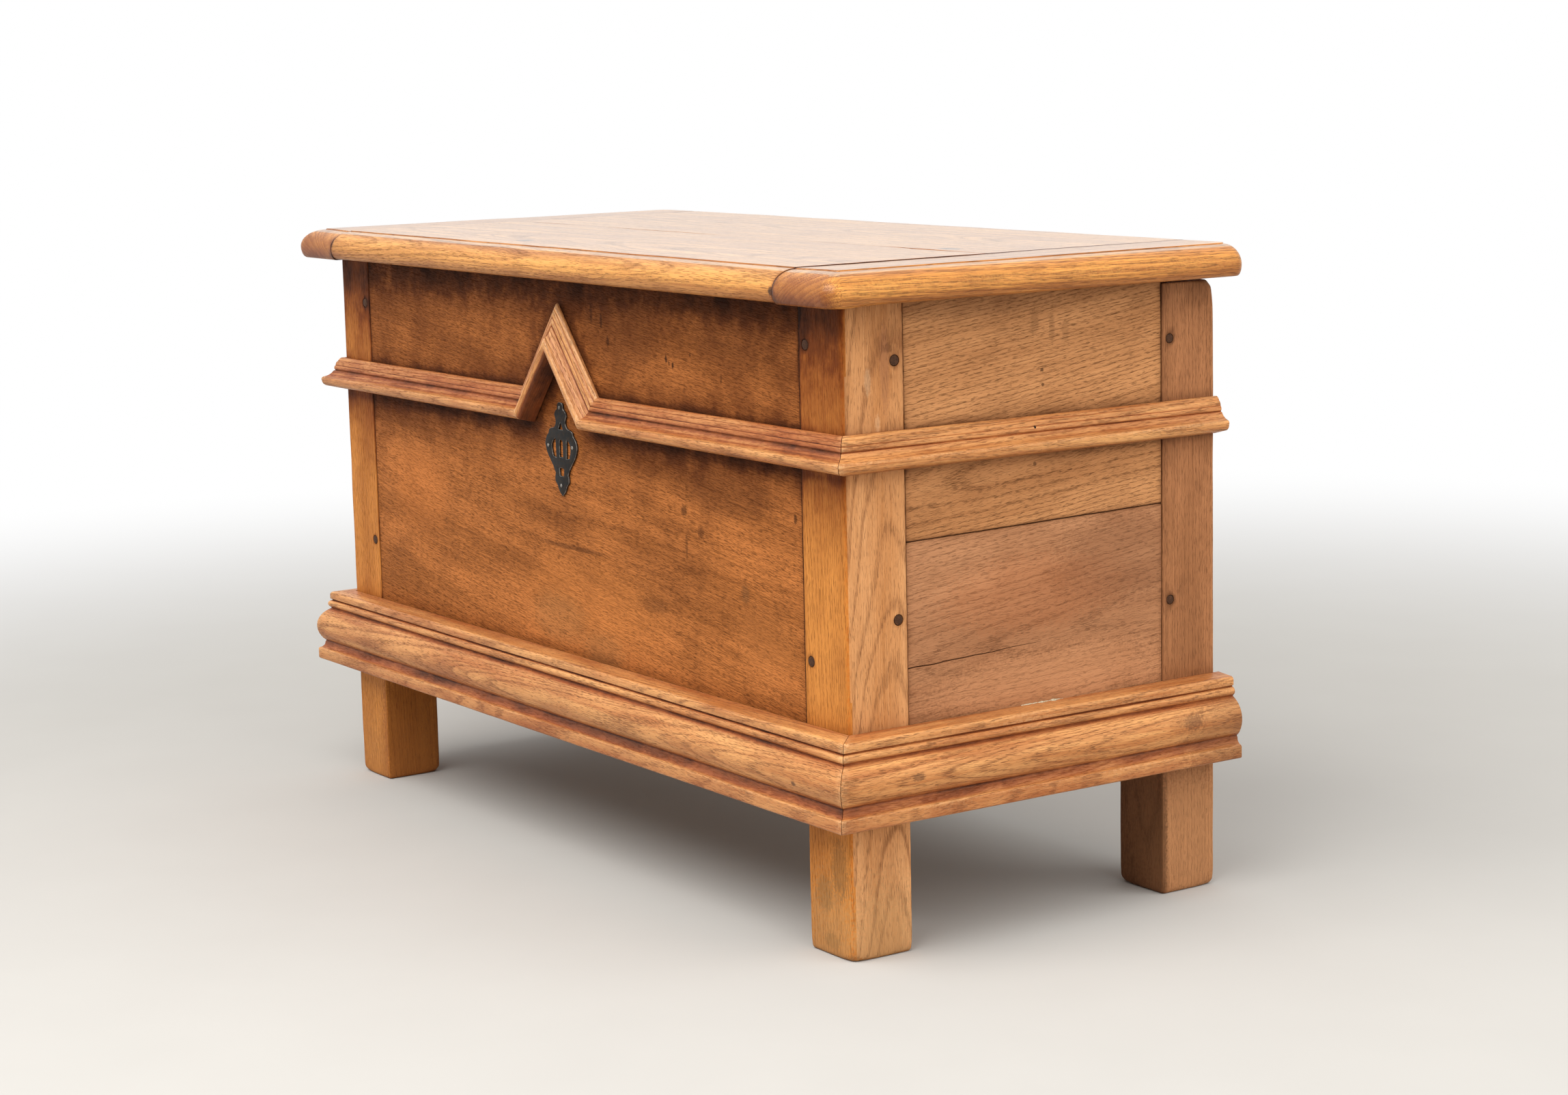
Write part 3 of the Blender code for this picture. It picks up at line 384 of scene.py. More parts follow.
LID_MARKS = [
    *marks_on(1, LID_FRONT, 12, [(0.4000, LID_LOW + 0.0095, 4, 4.5, "2c1408", 0.85),
                                 (-0.4010, LID_LOW + 0.0150, 3, 4, "2c1408", 0.60)]),
    ((-0.100, -0.162, LID_HIGH), (14, 9, 8), "3a2010", 0.95), ((0.331, 0.015, LID_HIGH), (17, 9, 8), "4a2b14", 0.85),
    *marks_on(1, LID_FRONT, 20, [(side * 0.443, LID_LOW + 0.010, 44, 24, "8a4219", 0.30) for side in SIDES.values()]),
]

PLANED = dict(ring=2.8, lean=(0.01, 0.03), wander=8, pores=-0.02, pore_depth=0.5, blotch=0.25, specular=0.1)
POST_OAK = oak("orange oak post front, planed and waxed", "d68c42", "b57030", "a1602a", "6b3a18", **dict(
    PLANED, ring_depth=0.25, blotch=0.3, blotch_tint="8a4c20", varnish_and_shade="6e2c08", wear="c8661f", marks=POST_MARKS))
POST_SIDE_OAK = oak("tan oak post side, planed and waxed", "dca06a", "bc7e4a", "a0683e", "70452a", **dict(
    PLANED, ring=4.2, ring_depth=0.65, band=0.30, lean=(0.01, 0.06), wander=9, pore_depth=0.55,
    blotch_tint="8f5a38", varnish_and_shade="80502f", wear="c8661f", marks=POST_MARKS))
REAR_POST_OAK = oak("brown oak post, planed and waxed", "b87c51", "98643f", "875433", "5f3b23", **dict(
    PLANED, ring_depth=0.35, blotch_tint="704428", varnish_and_shade="5a341c", marks=REAR_POST_MARKS))
PANEL_OAK = oak("reddish oak front board, planed and waxed", "c4783e", "985a2a", "80461c", "42220f",
                ring=2.8, ring_depth=0.15, lean=(0.0, 0.02), wander=6, pores=0.045, pore_size=(6.5, 0.36), pull=0.05,
                specks=0.6, streak=0.9, blotch=0.28, blotch_size=(38, 42), blotch_tint="5c3014", varnish_and_shade="57290f",
                rough=0.40, specular=0.05, marks=FRONT_MARKS)
PLANED_END = dict(PLANED, ring=3.4, pore_size=(6.5, 0.29), varnish_and_shade="6a4023", marks=END_MARKS)
END_OAK = oak("tan oak upper end board, planed and waxed", "cb905d", "ad7548", "9a633a", "4f2e18", **dict(
    PLANED_END, ring_depth=0.30, band=0.40, pore_depth=0.7, pull=0.15, blotch_tint="7a4a2a"))
END_PLAIN_OAK = oak("brown oak lower end board, planed and waxed", "bb845c", "9e6b48", "8c5836", "552f1a", **dict(
    PLANED_END, ring_depth=0.18, pores=-0.03, pull=0.12, blotch=0.35, blotch_tint="84502f"))
MOULDING_OAK = oak("orange oak moulding, scraped and waxed", "dd9f60", "b5703a", "99582a", "62371a",
                   ring=3.2, ring_depth=0.45, lean=(0.0, 0.04), wander=9, pores=-0.01, tone_size=(150, 9),
                   blotch=0.35, blotch_tint="7d431c", varnish_and_shade="93461c", grime="43200e", wear="e8b680", rough=0.30,
                   marks=MOULDING_MARKS)
LID_LOOK = dict(ring=3.0, ring_depth=0.45, lean=(0.0, 0.025), wander=12, pore_size=(11.0, 0.42), streak=0.9,
                tone_size=(260, 10), blotch_tint="743f18", varnish_and_shade="7c3e12", wear="dca04a", relief_depth=0.9,
                marks=LID_MARKS)
LID_END_LOOK = dict(LID_LOOK, ring=4.2, ring_depth=0.6, band=0.7, wander=5)
POLISHED = dict(rough=0.28, specular=0.5, polish=1.0)
LID_OAK = oak("golden oak lid edge, waxed", "df9d54", "af6f33", "955827", "553011", rough=0.30, **LID_LOOK)
LID_TOP_OAK = oak("golden oak lid top, polished", "dfa65e", "b0783f", "99642f", "62400f",
                  **POLISHED, **dict(LID_LOOK, ring_depth=0.8))
LID_END_OAK = oak("golden oak lid end, cross-grained and waxed", "e39a48", "b06c2c", "8e4f1e", "54300f",
                  rough=0.26, polish=0.15, **LID_END_LOOK)
LID_END_TOP_OAK = oak("golden oak lid end top, cross-grained and polished", "dca25c", "aa723c", "8e5a2c", "62400f",
                      **POLISHED, **LID_END_LOOK)
INNER = dict(ring_depth=0.4, blotch=0.4, rough=0.68)
DRY_OAK = oak("brown oak, planed and dry", "a9764c", "7d5031", "74482b", "49301c", **dict(INNER, rough=0.55))
SAWN_OAK = oak("pale oak, sawn and unfinished", "bd8e5f", "93663e", "8a6039", "5a3e27", **INNER)
FLOOR_OAK, LEDGE_OAK = (
    oak(f"pale oak {piece}, sawn and unfinished", "b58b60", "8a6340", "845d3a", "573c25", turn=(0, 0, turn), **INNER)
    for piece, turn in (("floor board", 0), ("side ledge", math.pi / 2)))
PEG_END = end_grain("oak peg end grain, dark with wax", "603c24", "24140a")
BLACK_IRON = wrought_iron("wrought iron, blackened", "1d1b1a", "33281f", "8d8983", 0.52)
NAIL_IRON = wrought_iron("wrought iron nail head, rubbed", "3a3633", "4a3b30", "a39d95", 0.45)
# nearly black, in lumps of about 2 mm, so that joints read as lines
JOINT_DIRT = crumbly("old wax and dust in the joints", "2a160b", "54301a", 500.0, (0.40, 0.75), 0.9, 0.1, 0)
# chalky and a little dusty, broken into crumbs of about 1.5 mm
PUTTY = crumbly("old putty", "a89878", "d6ccb0", 650.0, (0.35, 0.65), 0.85, 0.5, 0.0006)


# Meshes

def smooth(value, low, high):
    """Soft step from 0 at low to 1 at high."""
    part = np.clip((value - low) / (high - low), 0, 1)
    return part * part * (3 - 2 * part)


def fade(distance, reach):
    """1 at no distance, dying away over this reach."""
    return np.exp(-distance / reach)


def bell(distance, reach):
    """1 at no distance, falling off in a bell of this reach."""
    return np.exp(-(distance / reach) ** 2)


def wobble(points, size, seed):
    """Smooth random values from -1 to 1 that change over about this size."""
    shift = Vector((seed * 7.31, seed * 3.17, seed * 5.77))
    return np.array([noise.noise(Vector(point) / size + shift) for point in points])


def corners_of(mesh):
    values = np.empty(len(mesh.vertices) * 3, np.float32)
    mesh.vertices.foreach_get("co", values)
    return values.reshape(-1, 3).astype(float)


def move_corners(mesh, points):
    mesh.vertices.foreach_set("co", np.ascontiguousarray(points, np.float32).ravel())
    mesh.update()


def store(mesh, name, values):
    """Keeps one number or vector for each corner as an attribute that the materials read."""
    values = np.ascontiguousarray(values, np.float32)
    kind, field = ("FLOAT_VECTOR", "vector") if values.ndim == 2 else ("FLOAT", "value")
    mesh.attributes.new(name, kind, "POINT").data.foreach_set(field, values.ravel())


def store_use(mesh, grime, wear):
    """Keeps dirt together with painted shade, which never hides the wood wholly, and wear."""
    store(mesh, "grime", np.clip(grime, 0, 0.9))
    store(mesh, "wear", np.clip(wear, 0, 1))


def lay_in_log(mesh, along, across, heart):
    """Places the mesh in its log: grain runs along, and the growth rings' heart passes through this point."""
    axes = np.array([along, across, np.cross(along, across)], float)
    store(mesh, "grain", (corners_of(mesh) - heart) @ axes.T)


def shown(name, data):
    piece = bpy.data.objects.new(name, data)
    bpy.context.scene.collection.objects.link(piece)
    return piece


def built(name, bm):
    """Shows what a bmesh holds as an object."""
    mesh = bpy.data.meshes.new(name)
    bm.to_mesh(mesh)
    bm.free()
    return shown(name, mesh)


def skin(bm, rings):
    """Joins rings of corners into a closed skin."""
    for lower, upper in zip(rings, rings[1:]):
        for step in range(len(lower)):
            following = (step + 1) % len(lower)
            bm.faces.new((lower[step], lower[following], upper[following], upper[step]))
    bm.faces.new(rings[0][::-1])
    bm.faces.new(rings[-1])


def discard(*pieces):
    for piece in pieces:
        data = piece.data
        bpy.data.objects.remove(piece)
        (bpy.data.meshes if isinstance(data, bpy.types.Mesh) else bpy.data.curves).remove(data)


def plain_mesh(piece):
    """The piece's mesh with its modifiers worked in."""
    bpy.context.view_layer.update()
    return bpy.data.meshes.new_from_object(piece.evaluated_get(bpy.context.evaluated_depsgraph_get()))


def work(piece, operation, tool):
    """Cuts or joins a piece with a tool by an exact Boolean."""
    change = piece.modifiers.new(operation, "BOOLEAN")
    change.operation, change.object, change.solver = operation, tool, "EXACT"
    mesh = plain_mesh(piece)
    piece.modifiers.clear()
    old, piece.data = piece.data, mesh
    bpy.data.meshes.remove(old)
    discard(tool)


def settle(piece, body, nodes, materials, sharp=38):
    """Gives a finished piece its shading, materials, body and material slot, in place of the CAD nodes."""
    piece.data.shade_smooth()
    piece.data.set_sharp_from_angle(angle=math.radians(sharp))
    for material in materials:
        piece.data.materials.append(material)
    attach(piece, body)
    if nodes:
        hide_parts(*nodes)


LOOKS_ALONG = 0.93    # cosine of the angle within which a face looks in a direction


def line_with(mesh, direction, index=1):
    """Gives the faces that look in this direction another of the piece's materials."""
    direction = Vector(direction)
    for face in mesh.polygons:
        if face.normal.dot(direction) > LOOKS_ALONG:
            face.material_index = index


def dirty_joints(mesh, axis, place, reach, index):
    """Gives the faces in a joint that crosses this axis the material of packed dirt."""
    for face in mesh.polygons:
        if abs(face.center[axis] - place) < reach:
            face.material_index = index


EASED = (0, 0.0004, 0.001, 0.002, 0.0038, 0.0062, 0.009)


def mesh_lines(low, high, step):
    """Places of mesh lines from low to high, close together at both ends where the edges are eased."""
    near = np.array([d for d in EASED if d < (high - low) / 2.2])
    count = max(2, round((high - low - 2 * near[-1]) / step) + 1)
    inner = np.linspace(low + near[-1], high - near[-1], count)
    return np.concatenate([low + near[:-1], inner, (high - near[:-1])[::-1]])


def worn_block(name, low, high, radius, seed, step=0.007, hollow=0.00018):
    """A sawn and planed block, its edges eased by radius(points) and its faces a little uneven.
    Its edge attribute says how much each corner lies on an edge."""
    low, high = np.array(low, float), np.array(high, float)
    lines = [mesh_lines(low[axis], high[axis], step) for axis in range(3)]
    index, points, faces = {}, [], []

    def corner(key):
        if key not in index:
            index[key] = len(points)
            points.append([lines[axis][key[axis]] for axis in range(3)])
        return index[key]

    for axis in range(3):
        first, second = (axis + 1) % 3, (axis + 2) % 3
        for level in (0, len(lines[axis]) - 1):
            for i in range(len(lines[first]) - 1):
                for j in range(len(lines[second]) - 1):
                    ring = []
                    for di, dj in ((0, 0), (1, 0), (1, 1), (0, 1)):
                        key = [0, 0, 0]
                        key[axis], key[first], key[second] = level, i + di, j + dj
                        ring.append(corner(tuple(key)))
                    faces.append(ring if level else ring[::-1])
    points = np.array(points)
    reach = radius(points)[:, None]
    core = np.clip(points, low + reach, high - reach)
    away = points - core
    away /= np.linalg.norm(away, axis=1, keepdims=True)
    edge = np.clip((1 - np.abs(away).max(axis=1)) / 0.25, 0, 1)
    points = core + away * (reach + hollow * wobble(points, 0.075, seed)[:, None])
    mesh = bpy.data.meshes.new(name)
    mesh.from_pydata(points.tolist(), [], faces)
    store(mesh, "edge", edge)
    return shown(name, mesh)


def take_edge(mesh):
    """Takes the edge attribute off a mesh and returns it; corners that a cut made count as none."""
    values = np.zeros(len(mesh.vertices), np.float32)
    attribute = mesh.attributes["edge"]
    attribute.data.foreach_get("value", values)
    mesh.attributes.remove(attribute)
    return values.astype(float)


def box_tool(name, boxes):
    """Plain boxes in one object, to cut or join with."""
    bm = bmesh.new()
    for low, high in boxes:
        middle = [(a + b) / 2 for a, b in zip(low, high)]
        size = [abs(b - a) for a, b in zip(low, high)]
        bmesh.ops.create_cube(bm, size=1, matrix=Matrix.Translation(middle) @ Matrix.Diagonal((*size, 1)))
    return built(name, bm)


def bore_tool(name, places, radius, depth, sides=20):
    """Cylinders into the wood at (place, facing), in one object, to cut with."""
    bm = bmesh.new()
    for place, facing in places:
        turn = Vector(facing).to_track_quat("Z", "Y").to_matrix().to_4x4()
        bmesh.ops.create_cone(bm, cap_ends=True, segments=sides, radius1=radius, radius2=radius, depth=2 * depth,
                              matrix=Matrix.Translation(place) @ turn)
    return built(name, bm)


def path_distance(points, path):
    """Distance in a plane from each point to a line of straight stretches."""
    best = np.full(len(points), 1e9)
    for a, b in zip(path, path[1:]):
        a, b = np.array(a), np.array(b)
        part = np.clip(((points - a) @ (b - a)) / ((b - a) @ (b - a)), 0, 1)
        best = np.minimum(best, np.linalg.norm(points - a - part[:, None] * (b - a), axis=1))
    return best


# Geometry Nodes

def node_tree(name, inputs):
    """A new Geometry Nodes tree with these named inputs, what adds a node to it, and its group input's outputs."""
    tree = bpy.data.node_groups.new(name, "GeometryNodeTree")
    for title, kind in {"Geometry": "Geometry", **inputs}.items():
        tree.interface.new_socket(title, in_out="INPUT", socket_type="NodeSocket" + kind)
    tree.interface.new_socket("Geometry", in_out="OUTPUT", socket_type="NodeSocketGeometry")
    put = partial(add, tree)
    return tree, put, put("NodeGroupInput").outputs


def close_tree(tree, geometry, material):
    geometry = add(tree, "GeometryNodeRealizeInstances", {"Geometry": geometry})
    geometry = add(tree, "GeometryNodeSetMaterial", {"Geometry": geometry, "Material": material})
    add(tree, "NodeGroupOutput", geometry)
    return tree


def grown(name, data, tree, values):
    """Runs a tree on this data with these input values, and returns the plain mesh it gives."""
    carrier = shown(name, data)
    modifier = carrier.modifiers.new(name, "NODES")
    modifier.node_group = tree
    for item in tree.interface.items_tree:
        if item.in_out == "INPUT" and item.name in values:
            modifier[item.identifier] = values[item.name]
    mesh = plain_mesh(carrier)
    carrier.modifiers.clear()
    discard(carrier)
    mesh.materials.clear()
    return mesh


def moulding_run_tree():
    """Sweeps a profile (out, up) along +Z, then shears both ends to their mitres and adds hand-scraped waves."""
    sizes = ("Length", "Height", "Spacing", "Start Out", "Start Up", "End Out", "End Up", "Waves")
    tree, put, given = node_tree("moulding run", {**dict.fromkeys(sizes, "Float"), "Material": "Material"})
    end = put("CombineXYZ", {2: given["Length"]})
    line = put("GeometryNodeCurvePrimitiveLine", {"Start": (0, 0, 0), "End": end})
    line = put("GeometryNodeResampleCurve", {"Curve": line, "Length": given["Spacing"]}, mode="LENGTH")
    swept = put("GeometryNodeCurveToMesh",
                {"Curve": line, "Profile Curve": given["Geometry"], "Fill Caps": True})
    place = put("GeometryNodeInputPosition")
    out, up, along = put("SeparateXYZ", place).outputs
    below = put("Math:SUBTRACT", up, given["Height"])
    part = put("Math:DIVIDE", along, given["Length"])
    first, last = (summed(put, put("Math:MULTIPLY", below, given[end + " Up"]), [(out, given[end + " Out"])])
                   for end in ("Start", "End"))
    lean = put("MapRange", part, 0.0, 1.0, put("Math:MULTIPLY", first, -1.0), last, clamp=False)
    shear = put("CombineXYZ", {2: lean})
    # scraper waves about 45 mm long
    wave = put("TexNoise", {"Vector": place, "Scale": 22.0, "Detail": 1.0})
    wave = put("Math:MULTIPLY", put("Math:SUBTRACT", wave, 0.5), given["Waves"])
    wave = put("VectorMath:SCALE", put("GeometryNodeInputNormal"), {"Scale": wave})
    shift = put("VectorMath:ADD", shear, wave)
    moved = put("GeometryNodeSetPosition", {"Geometry": swept, "Offset": shift})
    return close_tree(tree, moved, given["Material"])


def fasteners_tree():
    """Sets one head on each point, square to its facing, turned and sized a little at random."""
    tree, put, given = node_tree("pegs and nails", {
        "Head": "Object", "Spread": "Float", "Seed": "Int", "Material": "Material"})
    head = put("GeometryNodeObjectInfo", {"Object": given["Head"]}).outputs["Geometry"]
    facing = put("GeometryNodeInputNamedAttribute", {"Name": "facing"}, data_type="FLOAT_VECTOR")
    size = put("GeometryNodeInputNamedAttribute", {"Name": "size"}, data_type="FLOAT")
    upright = put("FunctionNodeAlignRotationToVector", {"Vector": facing}, axis="Z")
    least, most = (put("Math:" + way, 1.0, given["Spread"]) for way in ("SUBTRACT", "ADD"))
    angle, vary = (put("FunctionNodeRandomValue", {2: low, 3: high, "Seed": given["Seed"]},
                       data_type="FLOAT").outputs[1] for low, high in ((0.0, math.tau), (least, most)))
    spin = put("FunctionNodeAxisAngleToRotation", {"Axis": (0, 0, 1), "Angle": angle})
    turned = put("FunctionNodeRotateRotation", upright, spin, rotation_space="LOCAL")
    heads = put("GeometryNodeInstanceOnPoints",
                {"Points": given["Geometry"], "Instance": head, "Rotation": turned,
                 "Scale": put("Math:MULTIPLY", size, vary)})
    return close_tree(tree, heads, given["Material"])


MOULDING_RUN = moulding_run_tree()
FASTENERS = fasteners_tree()


def turned_head(name, levels, sides, uneven, seed):
    """A round head as rings of (radius, height) from its root up to a closed top, a little out of true."""
    bm = bmesh.new()
    spokes = []
    for step in range(sides):
        x, y = math.cos(math.tau * step / sides), math.sin(math.tau * step / sides)
        off = 1 + uneven * noise.noise(Vector((x * 1.4, y * 1.4, seed * 3.7)))
        spokes.append((off * x, off * y))
    skin(bm, [[bm.verts.new((radius * x, radius * y, height)) for x, y in spokes] for radius, height in levels])
    return built(name, bm)


def fasten(name, places, head, material, spread, seed, wear=0.0, body="case", nodes=(), sharp=38):
    """Sets a head at each (place, facing, size), all as one piece; head is used up."""
    spots, facings, sizes = zip(*places)
    points = bpy.data.meshes.new(name)
    points.from_pydata([tuple(spot) for spot in spots], [], [])
    store(points, "facing", np.array(facings))
    store(points, "size", np.array(sizes))
    mesh = grown(name, points, FASTENERS, {"Head": head, "Spread": spread, "Seed": seed, "Material": material})
    discard(head)
    store(mesh, "wear", np.full(len(mesh.vertices), wear))
    settle(shown(name, mesh), body, nodes, [material], sharp)


# Posts

def peg_spots():
    """(node, place on the post's face, facing) of each peg."""
    spots = []
    for node in sorted(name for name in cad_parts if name.endswith("_peg")):
        low, high = (np.array(corner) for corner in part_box(node))
        facing = -Y if "_post_front_" in node else Y if "_post_back_" in node else -X if "left" in node else X
        place = (low + high) / 2
        axis = int(np.abs(facing).argmax())
        place[axis] = (high if facing[axis] > 0 else low)[axis]
        spots.append((node, place, facing))
    return spots


PEG_SPOTS = peg_spots()
PEG_BORE, PEG_BORE_DEPTH = 0.0049, 0.004
PEG_SCALE = {True: 1.0, False: 0.88}    # front posts, and rear posts, whose pegs show smaller


def post(name, seed, heart):
    """A square post down to its foot, grooved for the boards, bored for the pegs, its corners worn round."""
    low, high = (np.array(corner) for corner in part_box(name))
    front = "front" in name
    outward = np.array((-1 if "left" in name else 1, -1 if front else 1))
    outer = np.where(outward > 0, high[:2], low[:2])
    inner = np.where(outward > 0, low[:2], high[:2])

    def radius(points):
        reach = 0.0011 * (1 + 0.45 * wobble(points, 0.03, seed))
        worn = (0.0036 if front else 0.0026) * (1 + 0.2 * wobble(points, 0.05, seed + 1))
        reach += worn * bell(np.hypot(*(points[:, :2] - outer).T), 0.012)
        reach += 0.0045 * bell(np.hypot(*(points[:, :2] - inner).T), 0.012)
        reach += 0.0024 * bell(points[:, 2], 0.008)
        if not front:
            top_back = np.hypot(points[:, 2] - high[2], points[:, 1] - outer[1])
            reach += 0.0055 * bell(top_back, 0.016)
        return reach

    piece = worn_block(name + "_worn", low, high, radius, seed)
    wall, half = outer - outward * WALL_MIDDLE, TONGUE / 2 + GAP
    open_end, stop = np.sort([inner - outward * CUT_PAST, inner + outward * (TONGUE_REACH + GAP)], axis=0)
    bottom, top = WALL_BOTTOM - GAP, high[2] + CUT_PAST
    work(piece, "DIFFERENCE", box_tool("groove", [
        ((open_end[0], wall[1] - half, bottom), (stop[0], wall[1] + half, top)),
        ((wall[0] - half, open_end[1], bottom), (wall[0] + half, stop[1], top)),
    ]))
    bores = [(place, facing) for node, place, facing in PEG_SPOTS if node.startswith(name)]
    work(piece, "DIFFERENCE", bore_tool("bore", bores, PEG_BORE * PEG_SCALE[front], PEG_BORE_DEPTH))
    mesh = piece.data
    points = corners_of(mesh)
    edge = take_edge(mesh)
    lay_in_log(mesh, Z, Y, heart)
    height = points[:, 2]
    from_outer, from_inner = np.abs(points[:, :2] - outer), np.abs(points[:, :2] - inner)
    near_peg = np.min([np.linalg.norm(points - place, axis=1) for place, facing in bores], axis=0)
    under_lid = high[2] - height
    # dirt round the pegs and at the foot; the band under the lid is painted shade
    grime = 0.8 * np.exp(-(near_peg / 0.0052) ** 4) + 0.28 * fade(under_lid, 0.05) + 0.40 * fade(height, 0.006)
    # painted shade on the front face: under the lid's overhang, and in a band under the middle moulding
    if front:
        shaded = 0.34 * smooth(under_lid, 0.24, 0.15) * smooth(under_lid, 0.13, 0.14)
        shaded += 0.63 * bell(under_lid, 0.10)
        grime += shaded * smooth(points[:, 1], low[1] + 0.006, low[1] + 0.001)
    # along the mouldings, which the back has none of
    trimmed = 0.45 if front else 0.45 * smooth(from_outer[:, 0], 0.004, 0.001)
    for level, reach in ((MID_TOP, 0.004), (MID_TOP - MID_HEIGHT, 0.005), (BASE_TOP, 0.004)):
        grime += trimmed * fade(np.abs(height - level), reach)
    # along the boards
    grime += 0.5 * fade(from_inner.min(axis=1), 0.0012) * (height > WALL_BOTTOM) * (from_outer.min(axis=1) < 0.012)
    store_use(mesh, grime, 0.55 * edge * smooth(np.hypot(*from_outer.T), 0.03, 0.004))
    line_with(mesh, outward[0] * X)
    for face in mesh.polygons:
        inside = min(abs(face.center.x - outer[0]), abs(face.center.y - outer[1])) > 0.026
        if inside and face.center.z > WALL_BOTTOM and abs(face.normal.z) < 0.5:
            face.material_index = 2
    looks = [POST_OAK, POST_SIDE_OAK] if front else [REAR_POST_OAK, REAR_POST_OAK]
    settle(piece, "case", [name], looks + [SAWN_OAK])


post("front_right_post", 1, (SIDE - 0.085, FRONT + 0.046, 0.30))
post("front_left_post", 2, (-SIDE + 0.21, FRONT + 0.150, 0.30))
post("rear_right_post", 3, (SIDE - 0.02, BACK - 0.24, 0.20))
post("rear_left_post", 4, (-SIDE + 0.08, BACK - 0.05, 0.42))

PEG_LEVELS = [(0.0046, -0.0035), (0.0046, -0.0004), (0.0043, 0.0001), (0.0034, 0.0003), (0.0017, 0.0004)]
PEG_SUNK = 0.00015
fasten("pegs", [(place - PEG_SUNK * facing, facing, PEG_SCALE["front_" in node]) for node, place, facing in PEG_SPOTS],
       turned_head("peg_head", PEG_LEVELS, 11, 0.06, 3), PEG_END, 0.03, 5,
       nodes=[node for node, place, facing in PEG_SPOTS])


# Boards of the walls

CHEVRON_LEAN = math.atan2(CHEVRON_RISE, CHEVRON_HALF_WIDTH)


def chevron_path(level, half_width, apex):
    """A line across the front at this height, with the chevron's peak in it."""
    return [(-SIDE, level), (-half_width, level), (0, apex), (half_width, level), (SIDE, level)]


LEVEL_PATHS = [[(-SIDE, level), (SIDE, level)] for level in (MID_TOP, MID_TOP - MID_HEIGHT, BASE_TOP)]
MOULDING_PATHS = [
    chevron_path(MID_TOP, CHEVRON_HALF_WIDTH, MID_TOP + CHEVRON_RISE),
    chevron_path(MID_TOP - MID_HEIGHT, CHEVRON_HALF_WIDTH - MID_HEIGHT * math.tan(CHEVRON_LEAN / 2),
                 MID_TOP + CHEVRON_RISE - MID_HEIGHT / math.cos(CHEVRON_LEAN)),
    LEVEL_PATHS[2],
]


def board(name, inside, outward, seed, heart, material, paths, joint=None, bend=None, tools=(), along=None):
    """A wall board with eased edges and tongues into the posts. inside bounds its face between the posts;
    joint is the height of its edge joint, and bend moves corners before the tongues are joined on."""
    run = 0 if outward[1] else 1
    thick = 1 - run
    low, high = (np.array(corner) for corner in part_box(name))
    low[run], high[run] = inside[0] + GAP, inside[1] - GAP
    if "_lower_" in name:
        high[2] = WALL_JOINT - GAP

    def radius(points):
        return 0.0007 * (1 + 0.5 * wobble(points, 0.025, seed))

    piece = worn_block(name + "_planed", low, high, radius, seed)
    take_edge(piece.data)
    if bend:
        move_corners(piece.data, bend(corners_of(piece.data)))
    middle = (low[thick] + high[thick]) / 2
    tongue_low, tongue_high = low + TONGUE_INSET, high - TONGUE_INSET
    tongue_low[run], tongue_high[run] = low[run] - TONGUE_REACH + GAP, high[run] + TONGUE_REACH - GAP
    tongue_low[thick], tongue_high[thick] = middle - TONGUE / 2, middle + TONGUE / 2
    work(piece, "UNION", box_tool("tongue", [(tongue_low, tongue_high)]))
    if joint:
        upper = "_upper_" in name
        spare, past, below = (GAP, CUT_PAST, 0.012) if upper else (0, -0.004, 0.006)
        edge_low, edge_high = low - past, high + past
        edge_low[thick], edge_high[thick] = middle - EDGE_TONGUE / 2 - spare, middle + EDGE_TONGUE / 2 + spare
        edge_low[2], edge_high[2] = joint - below, joint + EDGE_TONGUE_REACH + spare
        work(piece, "DIFFERENCE" if upper else "UNION", box_tool("edge_tongue", [(edge_low, edge_high)]))
    for tool in tools:
        work(piece, "DIFFERENCE", tool)
    mesh = piece.data
    points = corners_of(mesh)
    along = np.eye(3)[run] if along is None else np.array(along)
    lay_in_log(mesh, along, np.cross(outward, along), heart)
    flat = points[:, [run, 2]]
    ends = np.minimum(points[:, run] - low[run], high[run] - points[:, run])
    under_lid = FRONT_TOP - points[:, 2]
    grime = 0.65 * fade(np.abs(ends), 0.0022) * (0.7 + 0.5 * wobble(points, 0.02, seed + 2))
    # painted shade along the top, under the lid
    grime += 0.30 * fade(under_lid, 0.02)
    for path in paths:
        grime += 0.5 * fade(path_distance(flat, path), 0.005)
    # the front board gets more painted shade: under the middle moulding and chevron, and under the lid's overhang
    if outward[1] < 0:
        below = path_distance(flat, paths[1])
        shaded = 0.28 * smooth(below, 0.09, 0.01) + 0.22 * smooth(below, 0.035, 0.006)
        grime += 0.32 * smooth(under_lid, 0.16, 0.03) + 0.30 * smooth(under_lid, 0.045, 0.005)
        grime += shaded * (points[:, 2] < MID_TOP + CHEVRON_RISE)
    if joint:
        rise = joint_rise(points) if bend else 0
        grime += 0.9 * fade(np.abs(points[:, 2] - joint - rise), 0.0010)
    store_use(mesh, grime, np.zeros(len(points)))
    line_with(mesh, -outward)
    for end in (low[run], high[run]):
        dirty_joints(mesh, run, end, 0.0011 if run == 0 else 0.0001, 2)
    settle(piece, "case", [name], [material, SAWN_OAK, JOINT_DIRT])


def joint_rise(points):
    """How far the ends' edge joints have risen, from the front to the back."""
    part = (points[:, 1] - POST_INSIDE_FRONT) / (POST_INSIDE_BACK - POST_INSIDE_FRONT)
    return -0.0018 + 0.0050 * part


